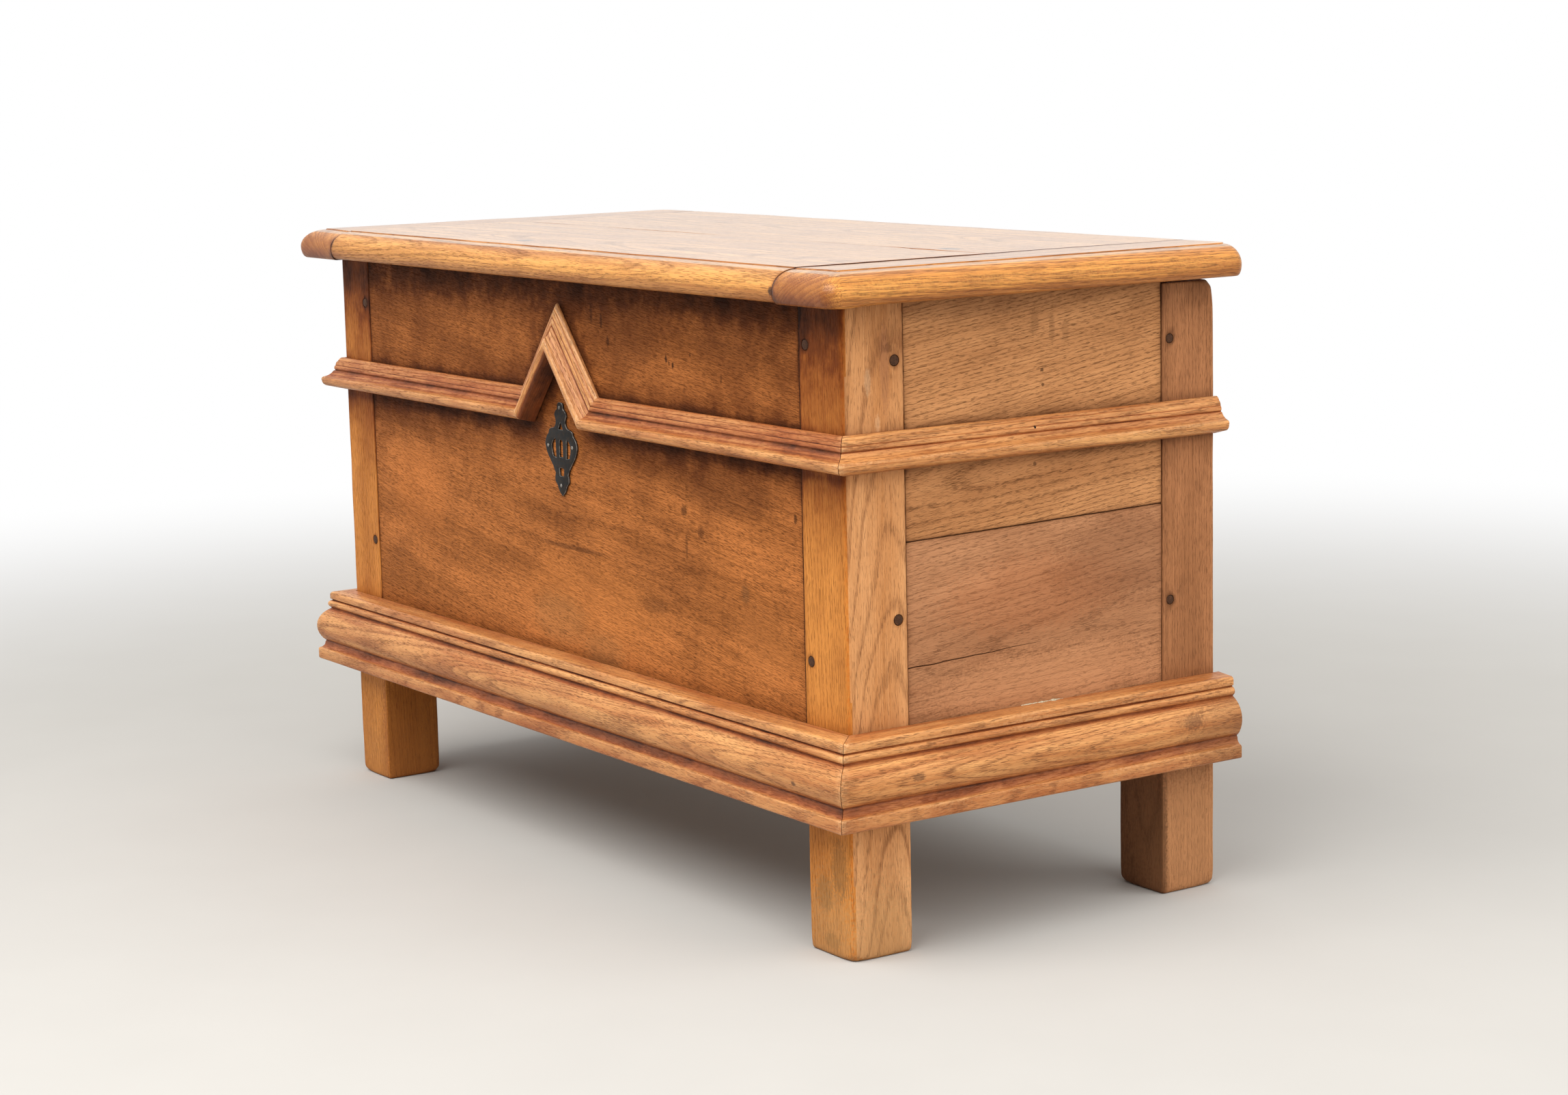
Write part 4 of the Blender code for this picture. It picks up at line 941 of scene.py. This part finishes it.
def joint_slope(points):
    """The ends' edge joints rise a little to the back, and the boards have shrunk apart."""
    near = 1 - smooth(np.abs(points[:, 2] - WALL_JOINT), 0.0, 0.09)
    apart = 0.00012 + 0.00014 * np.abs(wobble(points, 0.03, 6))
    moved = points.copy()
    moved[:, 2] += near * (joint_rise(points) + np.where(points[:, 2] >= WALL_JOINT - GAP / 2, apart, -apart))
    return moved


def crack_tool():
    """A drying split in the right end's lower board: a thin wedge that tapers out along the grain."""
    bm = bmesh.new()
    rows = []
    steps, x = 14, SIDE - BOARD_FACE
    for step in range(steps + 1):
        part = step / steps
        y = POST_INSIDE_FRONT - 0.002 + 0.145 * part
        z = 0.2405 + 0.0055 * part + 0.0009 * noise.noise(Vector((part * 7, 0.3, 0)))
        half = 1.3 * (0.00065 * (1 - part) ** 0.6 + 0.00006)
        rows.append([bm.verts.new(place) for place in
                     ((x + 0.002, y, z - half), (x + 0.002, y, z + half), (x - 0.007, y, z))])
    skin(bm, rows)
    bmesh.ops.recalc_face_normals(bm, faces=bm.faces)
    return built("crack", bm)


FRONT_LEAN = 0.13
ACROSS, DEEP = (-POST_INSIDE_X, POST_INSIDE_X), (POST_INSIDE_FRONT, POST_INSIDE_BACK)
board("front_board", ACROSS, -Y, 11, (0.10, FRONT + 0.16, 0.30), PANEL_OAK, MOULDING_PATHS,
      along=(math.cos(FRONT_LEAN), 0, -math.sin(FRONT_LEAN)))
for side, level, seed, depth, height, rise, material in (
        (-1, "lower", 22, 0.06, 0.25, 0.09, END_PLAIN_OAK), (-1, "upper", 23, 0.045, 0.40, 0.12, END_OAK),
        (1, "lower", 28, 0.06, 0.25, 0.09, END_PLAIN_OAK), (1, "upper", 29, 0.045, 0.40, 0.12, END_OAK)):
    node = f"{'left' if side < 0 else 'right'}_end_{level}_board"
    board(node, DEEP, side * X, seed, (side * (SIDE - depth), 0.0, height), material, LEVEL_PATHS,
          joint=WALL_JOINT, bend=joint_slope, tools=[crack_tool()] if node == "right_end_lower_board" else (),
          along=(0, math.cos(rise), math.sin(rise)))
for level, seed, height in (("lower", 36, 0.22), ("upper", 37, 0.47)):
    board(f"back_{level}_board", ACROSS, Y, seed, (0.0, BACK - 0.07, height), DRY_OAK, (), joint=WALL_JOINT)


# Mouldings

def with_arcs(corners, closed=False, turn=math.radians(9)):
    """Points along corners (x, y, bow); a stretch bows to its right by that much, as an arc."""
    points = []
    for (ax, ay, bow), (bx, by, ignored) in zip(corners, corners[1:] + corners[:1] if closed else corners[1:]):
        a, b = np.array((ax, ay)), np.array((bx, by))
        points.append(a)
        chord = np.linalg.norm(b - a)
        if abs(bow) < 1e-9 or chord < 1e-9:
            continue
        forward = (b - a) / chord
        right = np.array((forward[1], -forward[0]))
        curve = (chord * chord / 4 + bow * bow) / (2 * bow)
        half = math.asin(min(1, chord / 2 / abs(curve)))
        centre = (a + b) / 2 + right * (bow - curve)
        steps = max(2, math.ceil(2 * half / turn))
        for step in range(1, steps):
            angle = -half + 2 * half * step / steps
            points.append(centre + right * curve * math.cos(angle) + forward * abs(curve) * math.sin(angle))
    if not closed:
        points.append(np.array(corners[-1][:2]))
    return points


def softened(points, reach):
    """Rounds the sharp corners of a closed outline by about this much."""
    result = []
    for before, here, after in zip(points[-1:] + points[:-1], points, points[1:] + points[:1]):
        into, onward = here - before, after - here
        long_in, long_out = np.linalg.norm(into), np.linalg.norm(onward)
        bend = abs(math.atan2(into[0] * onward[1] - into[1] * onward[0], into @ onward))
        if bend < math.radians(24):
            result.append(here)
            continue
        a = here - into / long_in * min(reach, long_in / 3)
        b = here + onward / long_out * min(reach, long_out / 3)
        result += [a, (a + 2 * here + b) / 4, b]
    return result


def hollows(points, reach):
    """How hollow an outline is at each point, over this reach both ways: above 0 in a hollow, below on a nose."""
    loop = np.array(points + points[:1])
    gone = np.concatenate([[0], np.cumsum(np.linalg.norm(np.diff(loop, axis=0), axis=1))])
    before, after = (np.column_stack([np.interp((gone[:-1] + way) % gone[-1], gone, loop[:, axis])
                                      for axis in range(2)]) for way in (-reach, reach))
    forward = after - before
    outward = np.column_stack([forward[:, 1], -forward[:, 0]])
    outward /= np.linalg.norm(outward, axis=1, keepdims=True) + 1e-12
    return (((before + after) / 2 - loop[:-1]) * outward).sum(axis=1) / reach


def profile(members):
    """Corners of a moulding's section from the foot of its back, with their bows."""
    corners = [(0, 0, members[0][2])]
    up = 0
    for member, following in zip(members, members[1:] + [(0, 0, 0)]):
        up += member[0]
        corners.append((member[1], up, following[2]))
    if corners[1][:2] == (members[0][1], 0):
        corners[0] = (0, 0, 0)
    return corners + [(0, up, 0)]


def outline_curve(name, outlines, dimensions="3D"):
    """A curve with these closed outlines."""
    curve = bpy.data.curves.new(name, "CURVE")
    curve.dimensions = dimensions
    for points in outlines:
        spline = curve.splines.new("POLY")
        spline.points.add(len(points) - 1)
        for knot, place in zip(spline.points, points):
            knot.co = (*place, 0, 1)
        spline.use_cyclic_u = True
    return curve


def moulding(node, members, start, out, up, length, start_slope, end_slope, seed):
    """One run of moulding from its start along out x up, mitred at both ends, dark in its hollows and worn outside.
    Painted light and wear make the chevron's right leg paler than the rest, and painted shade darkens its left leg
    underneath."""
    start, out, up = (np.array(given, float) for given in (start, out, up))
    along = np.cross(out, up)
    height = sum(member[0] for member in members)
    base, at_front, right_leg, left_leg = members is BASE_MEMBERS, out[1] != 0, up[0] > 0, up[0] < 0
    section = softened(with_arcs(profile(members)), 0.0004)
    ends = [math.hypot(1, *slope) * GAP / 6 for slope in (start_slope, end_slope)]
    run = length - ends[0] - ends[1]
    mesh = grown(node + "_run", outline_curve(node + "_section", [section]), MOULDING_RUN, {
        "Length": run, "Height": height, "Spacing": 0.008, "Waves": 0.0006, "Material": MOULDING_OAK,
        "Start Out": start_slope[0], "Start Up": start_slope[1], "End Out": end_slope[0], "End Up": end_slope[1],
    })
    local = corners_of(mesh)
    x, y, z = local.T
    nearest = np.argmin(np.linalg.norm(local[:, None, :2] - np.array(section)[None], axis=2), axis=1)
    hollow, cove = (hollows(section, reach)[nearest] for reach in (0.0018, 0.005))
    # how far each corner is from the mitres, along the run
    first = z + start_slope[0] * x + start_slope[1] * (y - height)
    last = run + end_slope[0] * x + end_slope[1] * (y - height) - z
    mitre = np.minimum(first if any(start_slope) else 1, last if any(end_slope) else 1)
    origin = start - up * height + out * GAP + along * ends[0]
    points = origin + local @ np.array([out, up, along])
    move_corners(mesh, points)
    # each run comes from another part of its log
    store(mesh, "grain", local[:, ::-1] + (0.731 * seed, 0.02 + 0.013 * (seed % 5), 0.03 + 0.017 * (seed % 7)))
    patch = 0.5 + 0.5 * wobble(points, 0.06, seed)
    grime = np.maximum(smooth(hollow, 0.03, 0.28), (0.6 if base else 0.5) * smooth(cove, 0.02, 0.30))
    grime *= (0.6 + 0.4 * patch) * (1 if at_front else 0.75)
    # all but the chevron's right leg darken all over except on the noses; leaving the right leg out is painted light
    if not right_leg:
        grime += (0.22 if at_front and not base else 0.10) * smooth(cove, -0.20, 0.05) * (0.5 + patch)
    # painted shade on the underside of the chevron's left leg
    if left_leg:
        grime += 0.85 * smooth(y, 0.0078, 0.0045)
    # the base moulding: a darker band at the cove under the torus, partly dirt and partly painted shade, and painted
    # shade towards its bottom
    if base:
        grime += 0.18 * smooth(y, 0.0125, 0.0175) * smooth(y, 0.0270, 0.0215) + 0.32 * smooth(y, 0.016, 0.004)
    elif at_front and not (left_leg or right_leg):
        grime += 0.22 * smooth(y, 0.016, 0.021) + 0.10
    grime += 0.5 * fade(x, 0.0015)
    outside = smooth(hollow, -0.10, -0.40) * smooth(x, 0.002, 0.006)
    wear = outside * ((0.10 if at_front else 0.22) + 0.45 * np.clip(wobble(points, 0.035, seed + 9) + 0.1, 0, 1))
    wear += (0.8 * outside + 0.45 * smooth(hollow, 0.04, -0.04)) * fade(mitre, 0.003)
    # the chevron's right leg, which faces up, is made paler: partly wear, partly painted light
    if right_leg:
        wear += 0.3 * smooth(hollow, 0.05, -0.05)
    # no wear under the chevron's left leg, in its painted shade
    if left_leg:
        wear *= smooth(y, 0.0045, 0.0085)
    store_use(mesh, grime, wear)
    settle(shown(node + "_run", mesh), "case", [node], [MOULDING_OAK], sharp=50)


# mitres as slopes (out, up) of a run's end
SQUARE, CORNER = (0, 0), (1, 0)
FOOT, APEX = (0, -math.tan(CHEVRON_LEAN / 2)), (0, math.tan(CHEVRON_LEAN))
RIGHT_UP, LEFT_UP = ((side * math.sin(CHEVRON_LEAN), 0, math.cos(CHEVRON_LEAN)) for side in (1, -1))
CHEVRON_LEG = math.hypot(CHEVRON_HALF_WIDTH, CHEVRON_RISE)
FRONT_RUN = SIDE - CHEVRON_HALF_WIDTH
for kind, members, top, back, seed in (("base", BASE_MEMBERS, BASE_TOP, BACK + BASE_PAST_BACK, 40),
                                       ("middle", MID_MEMBERS, MID_TOP, BACK, 50)):
    moulding(f"{kind}_moulding_right", members, (SIDE, back, top), X, Z, back - FRONT, SQUARE, CORNER, seed)
    moulding(f"{kind}_moulding_left", members, (-SIDE, FRONT, top), -X, Z, back - FRONT, CORNER, SQUARE, seed + 1)
for node, members, x, top, up, length, start_slope, end_slope, seed in (
        ("base_moulding_front", BASE_MEMBERS, SIDE, BASE_TOP, Z, 2 * SIDE, CORNER, CORNER, 44),
        ("middle_moulding_front_right", MID_MEMBERS, SIDE, MID_TOP, Z, FRONT_RUN, CORNER, FOOT, 54),
        ("chevron_right", MID_MEMBERS, CHEVRON_HALF_WIDTH, MID_TOP, RIGHT_UP, CHEVRON_LEG, FOOT, APEX, 57),
        ("chevron_left", MID_MEMBERS, 0, MID_TOP + CHEVRON_RISE, LEFT_UP, CHEVRON_LEG, APEX, FOOT, 59),
        ("middle_moulding_front_left", MID_MEMBERS, -CHEVRON_HALF_WIDTH, MID_TOP, Z, FRONT_RUN, FOOT, CORNER, 62)):
    moulding(node, members, (x, FRONT, top), -Y, up, length, start_slope, end_slope, seed)


# Lid

LID_CORNER, LID_BACK_CORNER = 0.015, 0.010
LID_NOSE, LID_UNDERCUT, LID_THUMBNAIL, LID_QUIRK = 0.010, 0.006, 0.023, 0.0010
LID_TONGUE, LID_TONGUE_REACH, LID_TONGUE_STOP = 0.010, 0.026, 0.045
SEAM_EASE, LID_MESH_STEP = 0.0010, 0.022


def lid_levels():
    """(inset, height) up the lid's edge: a round under the nose, a long thumbnail over it, a quirk, then the flat."""
    under, over, thick = 8, 14, LID_HIGH - LID_LOW
    yield LID_UNDERCUT + 0.012, 0
    yield LID_UNDERCUT + 0.003, 0
    for step in range(under):
        angle = math.pi / 2 * step / under
        yield LID_UNDERCUT * (1 - math.sin(angle)), LID_NOSE * (1 - math.cos(angle))
    for step in range(over + 1):
        angle = math.pi / 2 * step / over
        yield LID_THUMBNAIL * (1 - math.cos(angle)), LID_NOSE + (thick - LID_QUIRK - LID_NOSE) * math.sin(angle)
    yield LID_THUMBNAIL + 0.0002, thick - 0.0004
    for inset in (0.0008, 0.0018, 0.004, 0.008, 0.016):
        yield LID_THUMBNAIL + inset, thick


def lid_ring(inset):
    """Corner points of one level of the lid; the back edge is nearly upright."""
    half, front, rear = LID_HALF_WIDTH - inset, LID_FRONT + inset, LID_BACK - 0.02 * inset
    radius, back = max(LID_CORNER - 0.6 * inset, 0.003), LID_BACK_CORNER
    places = []
    for x, y, reach, begin in (
            (-half + radius, front + radius, radius, 180), (half - radius, front + radius, radius, 270),
            (half - back, rear - back, back, 0), (-half + back, rear - back, back, 90)):
        for step in range(9):
            angle = math.radians(begin + 90 * step / 8)
            places.append((x + reach * math.cos(angle), y + reach * math.sin(angle)))
    return places


def sliced(bm, place, normal, **options):
    """Cuts a bmesh across at this place."""
    return bmesh.ops.bisect_plane(bm, geom=bm.verts[:] + bm.edges[:] + bm.faces[:], dist=1e-7,
                                  plane_co=place, plane_no=normal, **options)


def lid_piece(node, planes):
    """One board of the lid: the whole moulded slab cut at its seams (point, way out), the seams' edges eased, with
    mesh lines across so that the surface can be uneven and carry dirt, painted shade and wear."""
    bm = bmesh.new()
    skin(bm, [[bm.verts.new((x, y, LID_LOW + height)) for x, y in lid_ring(inset)] for inset, height in lid_levels()])
    for point, normal in planes:
        cut = sliced(bm, np.array(point) - GAP / 2 * np.array(normal), normal, clear_outer=True)
        bmesh.ops.holes_fill(bm, edges=[e for e in cut["geom_cut"] if isinstance(e, bmesh.types.BMEdge)])
    bmesh.ops.recalc_face_normals(bm, faces=bm.faces)
    seams = [face for face in bm.faces if any(face.normal.dot(Vector(normal)) > 0.999 for point, normal in planes)]
    rim = list(dict.fromkeys(edge for face in seams for edge in face.edges))
    bmesh.ops.bevel(bm, geom=rim, offset=SEAM_EASE, segments=2, profile=0.5, affect="EDGES", clamp_overlap=True)
    reach = [[end(v.co[axis] for v in bm.verts) for end in (min, max)] for axis in range(2)]
    for axis, (low, high) in enumerate(reach):
        for place in np.arange(low + LID_MESH_STEP, high - 0.015, LID_MESH_STEP):
            sliced(bm, np.eye(3)[axis] * place, np.eye(3)[axis])
    for point, normal in planes:
        for inside in (0.0025, 0.006, 0.012):
            sliced(bm, np.array(point) - inside * np.array(normal), np.abs(normal))
    return built(node + "_moulded", bm)


def finish_lid_piece(piece, node, along, across, heart, seed):
    """Makes the top a little uneven and gives the piece its grain, dirt, painted shade, wear and materials."""
    is_board = node.endswith("_board")
    mesh = piece.data
    points = corners_of(mesh)
    x, y, up = np.abs(points[:, 0]), points[:, 1], points[:, 2] - LID_LOW
    inset = np.minimum(LID_HALF_WIDTH - x, y - LID_FRONT)
    moved = points.copy()
    moved[:, 2] += 0.00035 * wobble(points, 0.09, seed) * np.where(up > 0.006, 1, 0)
    moved[:, 2] = np.minimum(moved[:, 2], LID_HIGH + 0.0003)
    if not is_board:
        # the ends stand a little lower than the boards where they pass the front of the case
        moved[:, 2] -= 0.0012 * smooth(up, 0.009, 0) * smooth(y, FRONT - 0.003, FRONT - 0.009)
        # and have sunk below them at the seam, most at the front
        sunk = smooth(x, LID_SEAM + 0.045, LID_SEAM + 0.002) * smooth(up, 0.014, 0.026)
        moved[:, 2] -= 0.0007 * sunk * smooth(y, 0.12, LID_FRONT + 0.02)
    move_corners(mesh, moved)
    lay_in_log(mesh, along, across, heart)
    quirk = fade(np.abs(inset - LID_THUMBNAIL - 0.0004), 0.0005) * smooth(up, 0.012, 0.024)
    at_end = smooth(LID_HALF_WIDTH - x - y + LID_FRONT, 0.004, -0.004)
    # dirt in the quirk and the seams, and painted shade darkening the edge towards its bottom
    grime = (0.6 - 0.45 * at_end) * quirk + 0.8 * fade(np.abs(x - LID_SEAM), 0.0016) + 0.30 * smooth(up, 0.014, 0)
    if is_board:
        grime += 0.4 * fade(np.abs(y), 0.0010)
    else:
        # end grain at the front has drunk more wax
        facing = np.array([corner.normal.y for corner in mesh.vertices])
        grime += 0.36 * smooth(-facing, 0.35, 0.8) * smooth(y, LID_FRONT + 0.016, LID_FRONT + 0.008)
    nose = smooth(inset, 0.009, 0.001) * smooth(up, 0.004, 0.011)
    store_use(mesh, grime, nose * (0.25 + 0.5 * np.clip(wobble(points, 0.05, seed + 3), 0, 1)))
    line_with(mesh, Z, 2)
    line_with(mesh, -Z, 3)
    for side in SIDES.values():
        dirty_joints(mesh, 0, side * LID_SEAM, 0.5 * SEAM_EASE, 1)
    edge, top = (LID_OAK, LID_TOP_OAK) if is_board else (LID_END_OAK, LID_END_TOP_OAK)
    settle(piece, "lid", [node], [edge, JOINT_DIRT, top, DRY_OAK], sharp=40)


def lid():
    """Two boards with tongues between two cross-grained ends with grooves."""
    low = LID_LOW + (LID_HIGH - LID_LOW - LID_TONGUE) / 2
    high = low + LID_TONGUE
    front, back = LID_FRONT + LID_TONGUE_STOP, LID_BACK - LID_TONGUE_STOP
    reach = LID_SEAM + LID_TONGUE_REACH
    outer_seams = [((side * LID_SEAM, 0, 0), (side, 0, 0)) for side in SIDES.values()]
    for node, way, begin, end, heart, seed in (
            ("lid_front_board", 1, front, -GAP / 2, (0.05, -0.13, LID_LOW - 0.07), 71),
            ("lid_back_board", -1, GAP / 2, back, (0.30, 0.12, LID_LOW - 0.05), 72)):
        piece = lid_piece(node, [*outer_seams, ((0, 0, 0), (0, way, 0))])
        work(piece, "UNION", box_tool("tongue", [((-reach, begin, low), (reach, end, high))]))
        finish_lid_piece(piece, node, X, Y, heart, seed)
    for hand, side in SIDES.items():
        node = f"lid_end_{hand}"
        piece = lid_piece(node, [((side * LID_SEAM, 0, 0), (-side, 0, 0))])
        x = sorted((side * (LID_SEAM - CUT_PAST), side * (reach + GAP)))
        groove = (x[0], front - GAP, low - GAP), (x[1], back + GAP, high + GAP)
        work(piece, "DIFFERENCE", box_tool("groove", [groove]))
        finish_lid_piece(piece, node, Y, X, (side * (LID_SEAM + 0.105), 0.1, LID_LOW - 0.12), 74 + side)


lid()


# Ironwork

def escutcheon():
    """A pierced plate with filed edges, cut from sheet. Returns where its face is."""
    right = ESCUTCHEON_EDGE
    left = [(-x, z, right[place - 1][2]) for place, (x, z, bow) in enumerate(right)][1:-1][::-1]
    tip = (0, right[-1][1], right[-2][2])
    mirrored = [(-x, z, bow) for (x, z, ignored), bow in
                zip(OUTER_SLOT[::-1], [corner[2] for corner in OUTER_SLOT[-2::-1]] + [OUTER_SLOT[-1][2]])]
    outlines = [right[:-1] + [tip] + left, MIDDLE_SLOT, OUTER_SLOT, mirrored, UPPER_WINDOW, LOWER_WINDOW]
    curve = outline_curve("escutcheon_plate", [with_arcs(outline, closed=True) for outline in outlines], "2D")
    curve.fill_mode = "BOTH"
    filed = 0.00035
    curve.extrude, curve.bevel_depth, curve.bevel_resolution = ESCUTCHEON_THICK / 2 - filed, filed, 2
    curve.offset = -filed
    carrier = shown("escutcheon_sheet", curve)
    sheet = plain_mesh(carrier)
    discard(carrier)
    bm = bmesh.new()
    bm.from_mesh(sheet)
    bpy.data.meshes.remove(sheet)
    bmesh.ops.remove_doubles(bm, verts=bm.verts, dist=1e-6)
    bmesh.ops.recalc_face_normals(bm, faces=bm.faces)
    piece = built("escutcheon_plate", bm)
    local = corners_of(piece.data)
    flat = np.abs(np.abs(local[:, 2]) - ESCUTCHEON_THICK / 2) < 2e-5
    face = FRONT + BOARD_FACE - GAP
    move_corners(piece.data, np.column_stack([
        local[:, 0] + ESCUTCHEON_X, face - ESCUTCHEON_THICK / 2 - local[:, 2], local[:, 1] + ESCUTCHEON_BOTTOM]))
    store(piece.data, "wear", np.where(flat | (local[:, 2] < 0), 0.0, 0.9))
    settle(piece, "case", ["escutcheon"], [BLACK_IRON], sharp=45)
    return face - ESCUTCHEON_THICK


# heads as (radius, height) from the root up
NAIL_LEVELS = [(0.0015, -0.0030), (0.0019, 0.0), (0.0018, 0.0003), (0.0013, 0.0006), (0.0006, 0.00075)]
TRIM_NAIL_LEVELS = [(0.0011, -0.0020), (0.0013, 0.0), (0.0011, 0.00015), (0.0005, 0.0002)]
SCREW_LEVELS = [(0.0012, -0.0012), (0.0028, -0.0001), (0.0028, 0.0001), (0.0026, 0.00014)]

PLATE_FACE = escutcheon()
fasten("escutcheon_nails", [((ESCUTCHEON_X + x, PLATE_FACE, ESCUTCHEON_BOTTOM + z), -Y, 1.0)
                            for x, z in ESCUTCHEON_NAILS],
       turned_head("nail_head", NAIL_LEVELS, 9, 0.12, 1), NAIL_IRON, 0.08, 2, wear=0.9)

# nails in the middle moulding's upper slope and its nose
SLOPE_OUT, NOSE_OUT, NOSE_Z = 0.0082, 0.0181, 0.4140
fasten("moulding_nails", [
    *[((SIDE + SLOPE_OUT, y, z), (0.9, 0, 0.44), size)
      for y, z, size in ((0.0053, 0.4312, 1.0), (0.0192, 0.4299, 0.9))],
    ((SIDE + NOSE_OUT, 0.0042, NOSE_Z), (0.96, 0, -0.28), 1.0),
    *[((x, FRONT - NOSE_OUT, NOSE_Z), (0, -0.96, -0.28), size)
      for x, size in ((0.105, 1.0), (0.140, 0.9), (-0.300, 1.0))],
    *[((-SIDE - NOSE_OUT, y, NOSE_Z), (-0.96, 0, -0.28), 1.0) for y in (0.0100, -0.1200)],
], turned_head("trim_nail", TRIM_NAIL_LEVELS, 9, 0.12, 4), BLACK_IRON, 0.1, 6)


def filler():
    """A crumbling strip of filler along the top of the right base moulding, where it meets the wall."""
    low = np.array((SIDE - 0.0004, -0.0065, BASE_TOP - 0.0012))
    high = np.array((SIDE + 0.0032, 0.0400, BASE_TOP + 0.0014))
    piece = worn_block("filler", low, high, lambda points: np.full(len(points), 0.0010), 81, step=0.0012, hollow=0.0)
    take_edge(piece.data)
    points = corners_of(piece.data)
    along = (points[:, 1] - low[1]) / (high[1] - low[1])
    broken = (0.55 + 0.75 * wobble(points * (0, 1, 0), 0.005, 82)) * np.sqrt(np.clip(along * (1 - along) * 6, 0, 1))
    broken = np.clip(broken, 0.08, 1)
    points[:, 0] = low[0] + (points[:, 0] - low[0]) * broken
    points[:, 2] = low[2] + (points[:, 2] - low[2]) * (0.45 + 0.55 * broken)
    points += 0.0003 * np.column_stack([wobble(points, 0.0018, seed) for seed in (83, 84, 85)])
    move_corners(piece.data, points)
    settle(piece, "case", [], [PUTTY])


def hinge_screws():
    """Three slotted screws, sunk in each hinge leaf; their heads stay in the space between the closed leaves."""
    for body, leaf, facing in (("case", "case_leaf", Z), ("lid", "lid_leaf", -Z)):
        places = []
        for hand in SIDES:
            low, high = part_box(f"{hand}_hinge_{leaf}")
            face = HINGE_AXIS_Z - facing[2] * LEAF_SPACING / 2
            places += [(((low.x + high.x) / 2 + aside, low.y + inward, face), facing, 1.0)
                       for aside, inward in ((-0.024, 0.0070), (0.0, 0.0100), (0.024, 0.0070))]
        head = turned_head("screw_head", SCREW_LEVELS, 18, 0.0, 1)
        work(head, "DIFFERENCE", box_tool("slot", [((-0.004, -0.00035, -0.0004), (0.004, 0.00035, 0.001))]))
        fasten(f"hinge_screws_{body}", places, head, NAIL_IRON, 0.0, 9, wear=0.3, body=body, sharp=30)


def plain_nodes(material, nodes):
    """Gives CAD nodes that show as they are a procedural material."""
    for node in nodes:
        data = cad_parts[node].data
        data.materials.clear()
        data.materials.append(material)


filler()
hinge_screws()
plain_nodes(FLOOR_OAK, ["floor_board_1", "floor_board_2", "floor_board_3", "front_floor_ledge", "back_floor_ledge"])
plain_nodes(LEDGE_OAK, ["left_floor_ledge", "right_floor_ledge"])
plain_nodes(BLACK_IRON, [f"{hand}_hinge_{part}" for hand in SIDES for part in ("case_leaf", "lid_leaf", "pin")])


# Floor, light and camera

def stage():
    bm = bmesh.new()
    bmesh.ops.create_circle(bm, cap_ends=True, segments=96, radius=12)
    floor = built("floor", bm)
    floor.data.materials.append(pale_floor("pale plaster floor, matt", "bfbcb6", "b2aea8"))


def light():
    """An even dome, brighter overhead, and two large soft panels; what is seen of the dome is white."""
    world = bpy.data.worlds.new("studio")
    bpy.context.scene.world = world
    world.use_nodes = True
    world.node_tree.nodes.clear()
    put = partial(add, world.node_tree)
    way = put("SeparateXYZ", put("TexCoord").outputs["Generated"])
    level = put("MapRange", way.outputs[2], 0.0, 1.0, 0.30, 0.95)
    dome, white = (put("Background", {"Color": (1, 1, 1, 1), "Strength": strength}) for strength in (level, 1.0))
    put("OutputWorld", {"Surface": put("MixShader", seen(put), dome, white)})
    # the side panel isn't mirrored, so that the polished lid keeps its colour
    target = Vector((0.1, 0, 0.3))
    for name, place, size, watts, mirrored in (("overhead_panel", (0.5, -1.8, 2.5), (3.0, 2.0), 93, True),
                                               ("side_panel", (2.7, 1.0, 1.6), (3.4, 2.6), 54, False)):
        panel = bpy.data.lights.new(name, "AREA")
        panel.shape, panel.size, panel.size_y, panel.energy = "RECTANGLE", *size, watts
        lamp = shown(name, panel)
        lamp.visible_glossy = mirrored
        aim = (Vector(place) - target).to_track_quat("Z", "Y").to_matrix().to_4x4()
        lamp.matrix_world = Matrix.Translation(place) @ aim


def camera():
    """Camera of the photograph, solved from the chest's own edges."""
    azimuth, elevation, roll = (math.radians(angle) for angle in (56.06, 9.229, -1.29))
    level = math.cos(elevation)
    back = Vector((math.sin(azimuth) * level, -math.cos(azimuth) * level, math.sin(elevation)))
    right = Vector((math.cos(azimuth), math.sin(azimuth), 0))
    up = back.cross(right)
    turned = right * math.cos(roll) + up * math.sin(roll)
    raised = up * math.cos(roll) - right * math.sin(roll)
    lens = bpy.data.cameras.new("camera")
    lens.lens, lens.sensor_width, lens.sensor_fit = 71.03, 36, "HORIZONTAL"
    lens.clip_start, lens.clip_end = 0.05, 60
    view = shown("camera", lens)
    aim = Matrix((turned, raised, back)).transposed().to_4x4()
    view.matrix_world = Matrix.Translation((2.4713, -1.6051, 0.7515)) @ aim
    bpy.context.scene.camera = view


stage()
light()
camera()
bpy.context.scene.view_settings.view_transform = "Standard"
